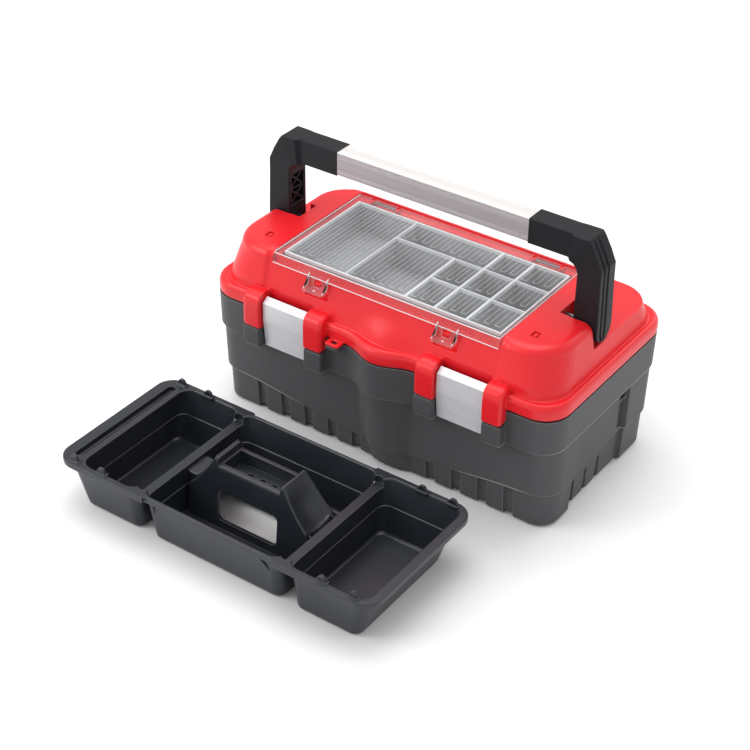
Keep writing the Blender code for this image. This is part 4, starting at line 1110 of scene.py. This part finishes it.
# a wall stands where the distance to its middle line is less than half its thickness; the height
# is the highest wall there, else the floor
def makeBin(shape):
    x0, y0 = binLow[:2]
    x1, y1 = binHigh[:2]
    thickness = {"thin": shape["wall"], "thick": shape["thick"]}
    edgesX = [x0 + shape["wall"], x1 - shape["wall"]]
    edgesX += [c[0] + s * thickness[c[1]] / 2 for c in shape["columns"] for s in (-1, 1)]
    edgesY = [y0 + shape["wall"], y1 - shape["wall"]]
    edgesY += [r[0] + s * thickness[r[2]] / 2 for r in shape["rows"] for s in (-1, 1)]
    xs = stations(x0, x1, 0.006, edgesX, 0.0005)
    ys = stations(y0, y1, 0.006, edgesY, 0.0005)
    low, high = binLow[2] + shape["floor"], binHigh[2]

    def top(x, y):
        soft = shape["draft"]
        wall = 1 - between(x, x0 + shape["wall"], x1 - shape["wall"], soft) * \
            between(y, y0 + shape["wall"], y1 - shape["wall"], soft)
        for place, kind in shape["columns"]:
            half = thickness[kind] / 2
            one = between(x, place - half, place + half, soft)
            if place == shape["split"][0]:
                one = one * (1 - rise(y, shape["split"][1], soft))
            wall = np.maximum(wall, one)
        for place, start, kind in shape["rows"]:
            half = thickness[kind] / 2
            wall = np.maximum(wall, between(y, place - half, place + half, soft) * rise(x, start, soft))
        return low + (high - low) * wall

    body = heightBlock("bin", xs, ys, top, binLow[2])
    return body


present(makeBin(binShape), "lid", "bin_plastic", finish["milky"], "organizer_bin", angle=30)


# organizer: clear cover

coverLow, coverHigh = corners("organizer_cover")
coverShape = {"skirt": [(-0.1005, 0.2222), (-0.1035, 0.2217), (-0.1058, 0.2199), (-0.1071, 0.2170),
                        (-0.1089, 0.2091), (-0.1074, 0.2091), (-0.1057, 0.2165), (-0.1045, 0.2188),
                        (-0.1029, 0.2200), (-0.1005, 0.2206)],
              "back": 0.0600, "soft": 0.0005, "edge": 0.0006,
              "ridgeWide": 0.00045, "ridgeHigh": 0.0006, "pairWide": 0.0062}


def makeCover(shape):
    skirt = shape["skirt"]
    outline = [(shape["back"], skirt[0][1])] + skirt + [(shape["back"], skirt[-1][1])]
    plate = slab("coverPlate", outline, "YZ", coverLow[0], coverHigh[0], shape["edge"], shape["soft"],
                 split=True)
    notches = [block("notch", (side * coverStation + low, side * coverStation + high), (0.0530, 0.07),
                     (0.21, 0.23),
                     0.0004, 0.0) for side in (-1, 1) for low, high in ((-0.0211, -0.0150), (0.0150, 0.0211))]
    windows = [block("window", (side * tongueX - 0.0055, side * tongueX + 0.0055), (-0.13, -0.1000),
                     (0.1998, 0.2102),
                     0.0010, 0.0, axis="Y") for side in (-1, 1)]
    tongues = []
    for side in (-1, 1):
        outline = [(-0.1056, 0.2150), (-0.1072, 0.2160), (-0.1108, 0.1992), (-0.1213, 0.1985), (-0.1213,
                                                                                                0.1966),
                   (-0.1092, 0.1966)]
        tongues.append(slab("tongue", outline, "YZ", side * tongueX - 0.0140, side * tongueX + 0.0140,
                            0.0008, 0.0006,
                            split=True))
    carve(plate, tongues, "UNION")
    carve(plate, notches + windows)
    shells = [plate]
    for side in (-1, 1):
        station = side * coverStation
        shells.append(knuckle("knuckle", station - 0.0147, station + 0.0147, coverAt, 0.0024, 0.0014, 20))
    return gather("cover", shells)


present(makeCover(coverShape), "cover", "cover_plastic", finish["clear"], "organizer_cover", angle=40)


# narrow ridges under the cover in pairs that close in a squared U at the front of each compartment
def makeRidges(shape):
    level = shape["skirt"][-1][1]
    low, high = level - shape["ridgeHigh"], level - 0.00005
    cells = [(-0.1400, -0.0615, -0.0905, 0.0465, 7), (-0.0575, 0.0165, -0.0905, 0.0035, 6),
             (-0.0575, 0.0560, 0.0085, 0.0465, 9)]
    for x0, x1 in ((0.0225, 0.0560), (0.0600, 0.0962), (0.1000, 0.1395)):
        cells += [(x0, x1, -0.0905, -0.0455, 3), (x0, x1, -0.0405, 0.0035, 3)]
        if x0 > 0.05:
            cells.append((x0, x1, 0.0085, 0.0465, 3))
    shells = []
    for x0, x1, y0, y1, count in cells:
        pitch = (x1 - x0) / count
        wide = min(shape["pairWide"], pitch * 0.62)
        for k in range(count):
            left = x0 + (k + 0.5) * pitch - wide / 2
            right, r = left + wide, 0.0007
            front = y0 + 0.002 + 0.0012 * ((k * 7) % 3)
            path = [(left, y1), (left, front + r), (left + r * 0.3, front + r * 0.3), (left + r, front),
                    (right - r, front), (right - r * 0.3, front + r * 0.3), (right, front + r), (right, y1)]
            shells.append(ridge("ridge", path, shape["ridgeWide"], low, high))
    # painted highlights: whitish rods along the fold and the foot of the skirt and down the sides of the
    # plate, where the clear edges catch light; and ribs down both sides of each tongue
    for y, z in ((-0.1050, 0.2207), (-0.1081, 0.2096)):
        shells.append(rod("edge", "X", coverLow[0] + 0.0005, coverHigh[0] - 0.0005, (y, z), 0.00055, 0.0002,
                          10))
    for side in (-1, 1):
        # painted highlight: a whitish rod down each side of the plate
        shells.append(rod("edge", "Y", -0.1030, 0.0590, (side * 0.1483, 0.2213), 0.0005, 0.0002, 10))
        for edge in (-1, 1):  # ribs down both sides of each tongue
            x = side * tongueX + edge * 0.0128
            rib = [(-0.1060, 0.2135), (-0.1105, 0.2000), (-0.1190, 0.1988), (-0.1190, 0.1998), (-0.1125,
                                                                                                0.2016),
                   (-0.1088, 0.2120)]
            shells.append(slab("tongueRib", rib, "YZ", x - 0.0006, x + 0.0006, 0.0002, 0.0003))
        shells.append(rod("dot", "Z", 0.1984, 0.1991, (side * tongueX, -0.1165), 0.0012, 0.0003, 16))
    return gather("coverRidges", shells)


present(makeRidges(coverShape), "cover", "cover_plastic", finish["ridges"], angle=50)
print("organizer built")


# tray: three tubs in one rim, with a hollow grip over the middle one

trayLow, trayHigh = corners("tray")
trayX, trayY = float(trayLow[0] + trayHigh[0]) / 2, float(trayLow[1] + trayHigh[1]) / 2
trayShape = {
    "rim": (0.2105, 0.0955, 0.0220, 0.0555, 0.0630), "rimEdge": 0.0012,
    # bottom x from and to, top x from and to, all from the tray's middle
    "tubs": {"left": (-0.1845, -0.1040, -0.1990, -0.1000), "middle": (-0.0870, 0.0870, -0.0925, 0.0925),
             "right": (0.1040, 0.1845, 0.1000, 0.1990)},
    "bottomY": (-0.0800, 0.0705), "topY": (-0.0880, 0.0880), "radius": (0.0105, 0.0150), "wall": 0.0021,
    "floorSoft": 0.0050, "stepZ": 0.0330, "step": 0.0007, "flare": 0.0016,
    "divider": (0.0890, 0.1035, 0.0845, 0.0535), "thinEdge": (0.0850, 0.0917),
    "trough": (-0.1965, -0.1855, 0.0800, 0.0560),
    "earX": (0.1470, 0.1860), "earY": 0.0890,
}


# a tapering rounded box as rows of outlines; the centre, half sizes and corner radius run in a
# straight line from the bottom to the top, and the rows given hold height and extra inset
def tubRows(spec, shape, inset, rows):
    x0, x1, x2, x3 = spec
    heights, extra = np.asarray(rows, float).T
    t = heights / shape["rim"][3]
    low = x0 + (x2 - x0) * t + inset + extra
    high = x1 + (x3 - x1) * t - inset - extra
    front = shape["bottomY"][0] + (shape["topY"][0] - shape["bottomY"][0]) * t + inset + extra
    back = shape["bottomY"][1] + (shape["topY"][1] - shape["bottomY"][1]) * t - inset - extra
    r0, r1 = shape["radius"]
    radius = np.maximum(r0 + (r1 - r0) * t - inset - extra * 0.6, 0.003)
    halfX, halfY = (high - low) / 2, (back - front) / 2
    unit = roundedOutline(halfX, halfY, halfY, radius, [0.0], [0.0], 8)
    x = unit[0] + ((low + high) / 2)[:, None] + trayX
    y = unit[1] + ((front + back) / 2)[:, None] + trayY
    return np.stack([x, y, heights[:, None] + 0 * x], axis=-1)


def quarterRows(start, radius, steps=5):
    turn = np.linspace(0, math.pi / 2, steps + 1)
    return [(start + radius * (1 - math.cos(t)), radius * (1 - math.sin(t))) for t in turn]


def makeTray(shape):
    halfX, halfY, radius, z0, z1 = shape["rim"]
    e = shape["rimEdge"]
    turn = np.linspace(0, math.pi / 2, 4)
    level = np.concatenate([z0 + e * (1 - np.cos(turn)), (z1 - e * (1 - np.cos(turn)))[::-1]])
    draw = np.concatenate([e * (1 - np.sin(turn)), (e * (1 - np.sin(turn)))[::-1]])
    x, y, _, _ = roundedOutline(halfX - draw, halfY - draw, halfY - draw, radius - draw, [0.0], [0.0], 12)
    tray = closedSkin("trayRim", np.stack([x + trayX, y + trayY, level[:, None] + 0 * x], axis=-1),
                      split=True)

    outside, hollows = [], []
    for word, spec in shape["tubs"].items():
        rows = quarterRows(0.0, shape["floorSoft"]) + [(0.030, 0.0), (0.0590, 0.0)]
        outside.append(closedSkin("tub", tubRows(spec, shape, 0.0, rows), split=True))
        spec = list(spec)
        if word == "left":
            spec[2] += 0.0185
        wall, floor = shape["wall"], shape["wall"]
        rows = quarterRows(floor, shape["floorSoft"] - 0.0015)
        rows += [(shape["stepZ"], 0.0), (shape["stepZ"] + 0.0003, -shape["step"])]
        rows += [(z1 - shape["flare"] * 1.2, -shape["step"]), (z1 - shape["flare"] * 0.35,
                                                               -shape["step"] - shape["flare"] * 0.35),
                 (z1 + 0.0001, -shape["step"] - shape["flare"]), (z1 + 0.008,
                                                                  -shape["step"] - shape["flare"])]
        hollows.append(closedSkin("hollow", tubRows(spec, shape, wall, rows), split=True))
    start, end, reach, low = shape["divider"]
    bridges, lowered = [], []
    for side in (-1, 1):
        bridges.append(block("bridge", (trayX + side * (start + 0.0014), trayX + side * (end - 0.0014)),
                             (trayY - 0.087, trayY + 0.087), (0.0490, 0.0562), 0.002, 0.0005))
        lowered.append(block("lowered", (trayX + side * start, trayX + side * end), (trayY - reach,
                                                                                     trayY + reach),
                             (low, 0.08), 0.0070, 0.0010))
        y = sorted((trayY + side * shape["thinEdge"][1], trayY + side * 0.12))
        lowered.append(block("thinEdge", (trayX - shape["thinEdge"][0], trayX + shape["thinEdge"][0]), y,
                             (0.05, 0.08), 0.0020, 0.0))
    x0, x1, reach, low = shape["trough"]
    trough = block("trough", (trayX + x0, trayX + x1), (trayY - reach, trayY + reach), (low, 0.08), 0.0050,
                   0.0025)
    carve(tray, outside + bridges, "UNION")
    carve(tray, lowered + hollows + [trough])
    return tray


gripShape = {"foot": 0.0798, "post": 0.0455, "half": 0.0290, "lean": 0.30, "height": 0.0900, "footZ": 0.0460,
             "grip": 0.0415, "gripZ": 0.0800, "groove": (0.0385, 0.0142, 0.0640), "cradle": 0.0095,
             "window": (0.0400, 0.0125, 0.0500, 0.0065), "holes": (-0.016, 0.0, 0.016), "holeRadius": 0.0045,
             # half length, half depth and height of the hollow below
             "inside": ((0.0775, 0.0262, -0.01), (0.0740, 0.0225, 0.0300), (0.0560, 0.0180, 0.0510))}


# height of the grip block over the plan: a flat grip with a long groove in the middle, a post at
# each end, then foot + (crest - foot) * (1 - t)^1.3 down the slope, less a cradle (1 - v^2) across
def makeGrip(shape):
    half, reach, grip, post = shape["half"], shape["foot"], shape["grip"], shape["post"]
    grooveX, grooveY, grooveZ = shape["groove"]
    spread = 1 - shape["lean"] * shape["gripZ"] / shape["height"]
    xs = trayX + stations(-reach, reach, 0.0020, [-grip, grip, -grooveX, grooveX, -post, post], 0.0007)
    ys = trayY + stations(-half, half, 0.0020, [-grooveY / spread, grooveY / spread], 0.0007)

    def top(x, y):
        away, v = np.abs(x - trayX), (y - trayY) / half
        slope = np.clip((away - post) / (reach - post), 0, 1)
        z = shape["footZ"] + (shape["height"] - shape["footZ"]) * (1 - slope) ** 1.3
        z = z - (shape["cradle"] * (1 - v ** 2) * rise(away, post + 0.006, 0.016) *
                 (1 - 0.6 * rise(slope, 0.92, 0.16)))
        z = z - 0.0022 * (1 - rise(away, post - 0.001, 0.004)) - 0.0030 * np.clip(slope * 12 - 11, 0, 1) ** 2
        inside = (1 - rise(away, grooveX, 0.0012)) * (1 - rise(np.abs(y - trayY), grooveY / spread, 0.0012))
        middle = shape["gripZ"] + (grooveZ - shape["gripZ"]) * inside
        z = z + (middle - z) * (1 - rise(away, grip, 0.0012))
        return z - 0.0032 * (np.clip(np.abs(v) - 0.86, 0, 1) / 0.14) ** 2.5

    body = heightBlock("grip", xs, ys, top, 0.0005)
    # both long sides lean in towards the top in proportion to the height
    points = np.empty(len(body.data.vertices) * 3)
    body.data.vertices.foreach_get("co", points)
    points = points.reshape(-1, 3)
    points[:, 1] = trayY + (points[:, 1] - trayY) * (1.0 - shape["lean"] * points[:, 2] / shape["height"])
    body.data.vertices.foreach_set("co", points.ravel())
    return body


def makeTrayParts():
    tray = makeTray(trayShape)
    reach, low, high, radius = gripShape["window"]
    window = block("window", (trayX - reach, trayX + reach), (trayY - 0.05, trayY + 0.05), (low, high),
                   radius, 0.0,
                   axis="Y")
    inside = closedSkin("inside", np.stack([
        np.column_stack([ring, np.full(len(ring), z)]) for ring, z in
        ((roundedRectangle((trayX - w, trayX + w), (trayY - d, trayY + d), 0.005), z)
         for w, d, z in gripShape["inside"])]), split=True)
    carve(tray, [makeGrip(gripShape)], "UNION")
    holes = [rod("hole", "Z", 0.04, 0.09, (trayX + x, trayY), gripShape["holeRadius"], 0.0, 20)
             for x in gripShape["holes"]]
    gussets = [slab("gusset", [(trayX + s * 0.0780, 0.0535), (trayX + s * 0.0630, 0.0535),
                               (trayX + s * 0.0780, 0.0385)],
                    "XZ", trayY - 0.0905, trayY - 0.0843, 0.0, split=True) for s in (-1, 1)]
    carve(tray, [window, inside] + holes + gussets)
    shells = [tray]
    # a thin plate behind each triangular recess keeps the wall closed there
    for s in (-1, 1):
        plate = [(trayX + s * 0.0800, 0.0555), (trayX + s * 0.0600, 0.0555), (trayX + s * 0.0800, 0.0355)]
        shells.append(slab("gussetBack", plate, "XZ", trayY - 0.0848, trayY - 0.0830, 0.0003, 0.0,
                           split=True))
    # webs that tie the saddle's feet to the walls beside it
    for y in (-0.0205, 0.0205):
        shells.append(block("web", (trayX + 0.0770, trayX + 0.0905), (trayY + y - 0.0019, trayY + y + 0.0019),
                            (0.0015, 0.0430), 0.0008, 0.0016))
    shells.append(block("web", (trayX - 0.0910, trayX - 0.0740), (trayY - 0.0165, trayY + 0.0165), (0.0015,
                                                                                                    0.0495),
                        0.0030, 0.0022))
    for side in (-1, 1):
        for end in (-1, 1):
            for x in trayShape["earX"]:
                y = trayY + side * trayShape["earY"]
                half = [(0.0062, 0.0600), (0.0058, 0.0662), (0.0036, 0.0700), (0.0012, 0.0713)]
                outline = [(trayX + end * x + a, b) for a, b in half + [(-a, b) for a, b in half[::-1]]]
                shells.append(slab("ear", outline, "XZ", y - 0.0018, y + 0.0018, 0.0007, 0.0010, split=True))
                shells.append(block("earFoot", (trayX + end * x - 0.0078, trayX + end * x + 0.0078),
                                    (y - 0.0036, y + 0.0036), (0.0600, 0.0646), 0.0020, 0.0009, split=True))
    tray = gather("trayMoulding", shells)
    present(tray, "tray", "tray_plastic", finish["slate"], "tray", angle=35)


makeTrayParts()
print("tray built")


# floor, light and camera

floorLook = {"size": 7.0, "colour": (0.93, 0.93, 0.935), "roughness": 0.60}


def makeFloor(look):
    half = look["size"]
    points = np.array([(-half, -half, 0), (half, -half, 0), (half, half, 0), (-half, half, 0)])
    points = points - (0, 0, 0.0002)
    floor = makeObject("studioFloor", points, [(0, 1, 2, 3)])
    paint = Paint("studioFloorPaint")
    cloud = paint.noise(1.5, 2.0)
    tone = paint.blend(paint.ramp(cloud, 0.3, 0.7), look["colour"], tuple(0.985 * c for c in look["colour"]))
    floor.data.materials.append(paint.finish(paint.node("ShaderNodeBsdfPrincipled", {}, {
        "Base Color": tone, "Roughness": look["roughness"] + (cloud - 0.5) * 0.1,
        "Specular IOR Level": 0.2})))


makeFloor(floorLook)

lights = {  # place, aim, width, height, power
    "overhead": ((-0.25, 0.15, 1.9), (0.0, 0.0, 0.1), 1.6, 1.6, 19.0),
    "leftFront": ((-1.5, -1.5, 1.3), (-0.05, -0.1, 0.1), 1.2, 1.2, 19.5),
    "rightFill": ((1.8, -0.6, 0.9), (0.1, 0.0, 0.1), 1.2, 1.0, 0.4),
    "rearRim": ((0.5, 1.7, 1.2), (0.0, 0.0, 0.15), 1.5, 0.8, 8.0),
}
for name, (place, aim, width, height, power) in lights.items():
    data = bpy.data.lights.new(name, "AREA")
    data.shape, data.size, data.size_y, data.energy = "RECTANGLE", width, height, power
    lamp = bpy.data.objects.new(name, data)
    lamp.location = place
    lamp.rotation_euler = (Vector(aim) - Vector(place)).to_track_quat("-Z", "Y").to_euler()
    scene.collection.objects.link(lamp)

world = bpy.data.worlds.new("studioWorld")
scene.world = world
world.use_nodes = True
world.node_tree.nodes["Background"].inputs["Color"].default_value = (1.0, 1.0, 1.0, 1.0)
world.node_tree.nodes["Background"].inputs["Strength"].default_value = 0.78
scene.view_settings.view_transform = "Standard"

cameraSet = {"azimuth": 34.81, "elevation": 34.53, "roll": 0.88, "lens": 83.6, "distance": 2.095,
             "target": (-0.082, 0.0, 0.023)}


def makeCamera(settings):
    azimuth, elevation = math.radians(settings["azimuth"]), math.radians(settings["elevation"])
    away = Vector((math.sin(azimuth) * math.cos(elevation), -math.cos(azimuth) * math.cos(elevation),
                   math.sin(elevation)))
    data = bpy.data.cameras.new("camera")
    data.lens, data.sensor_width, data.clip_start = settings["lens"], 36.0, 0.05
    camera = bpy.data.objects.new("camera", data)
    camera.location = Vector(settings["target"]) + away * settings["distance"]
    turn = away.to_track_quat("Z", "Y").to_matrix()
    roll = math.radians(settings["roll"])
    right, up = turn.col[0].copy(), turn.col[1].copy()
    newRight = right * math.cos(roll) + up * math.sin(roll)
    newUp = up * math.cos(roll) - right * math.sin(roll)
    for k in range(3):
        turn[k][0], turn[k][1] = newRight[k], newUp[k]
    camera.rotation_euler = turn.to_euler()
    scene.collection.objects.link(camera)
    scene.camera = camera


makeCamera(cameraSet)
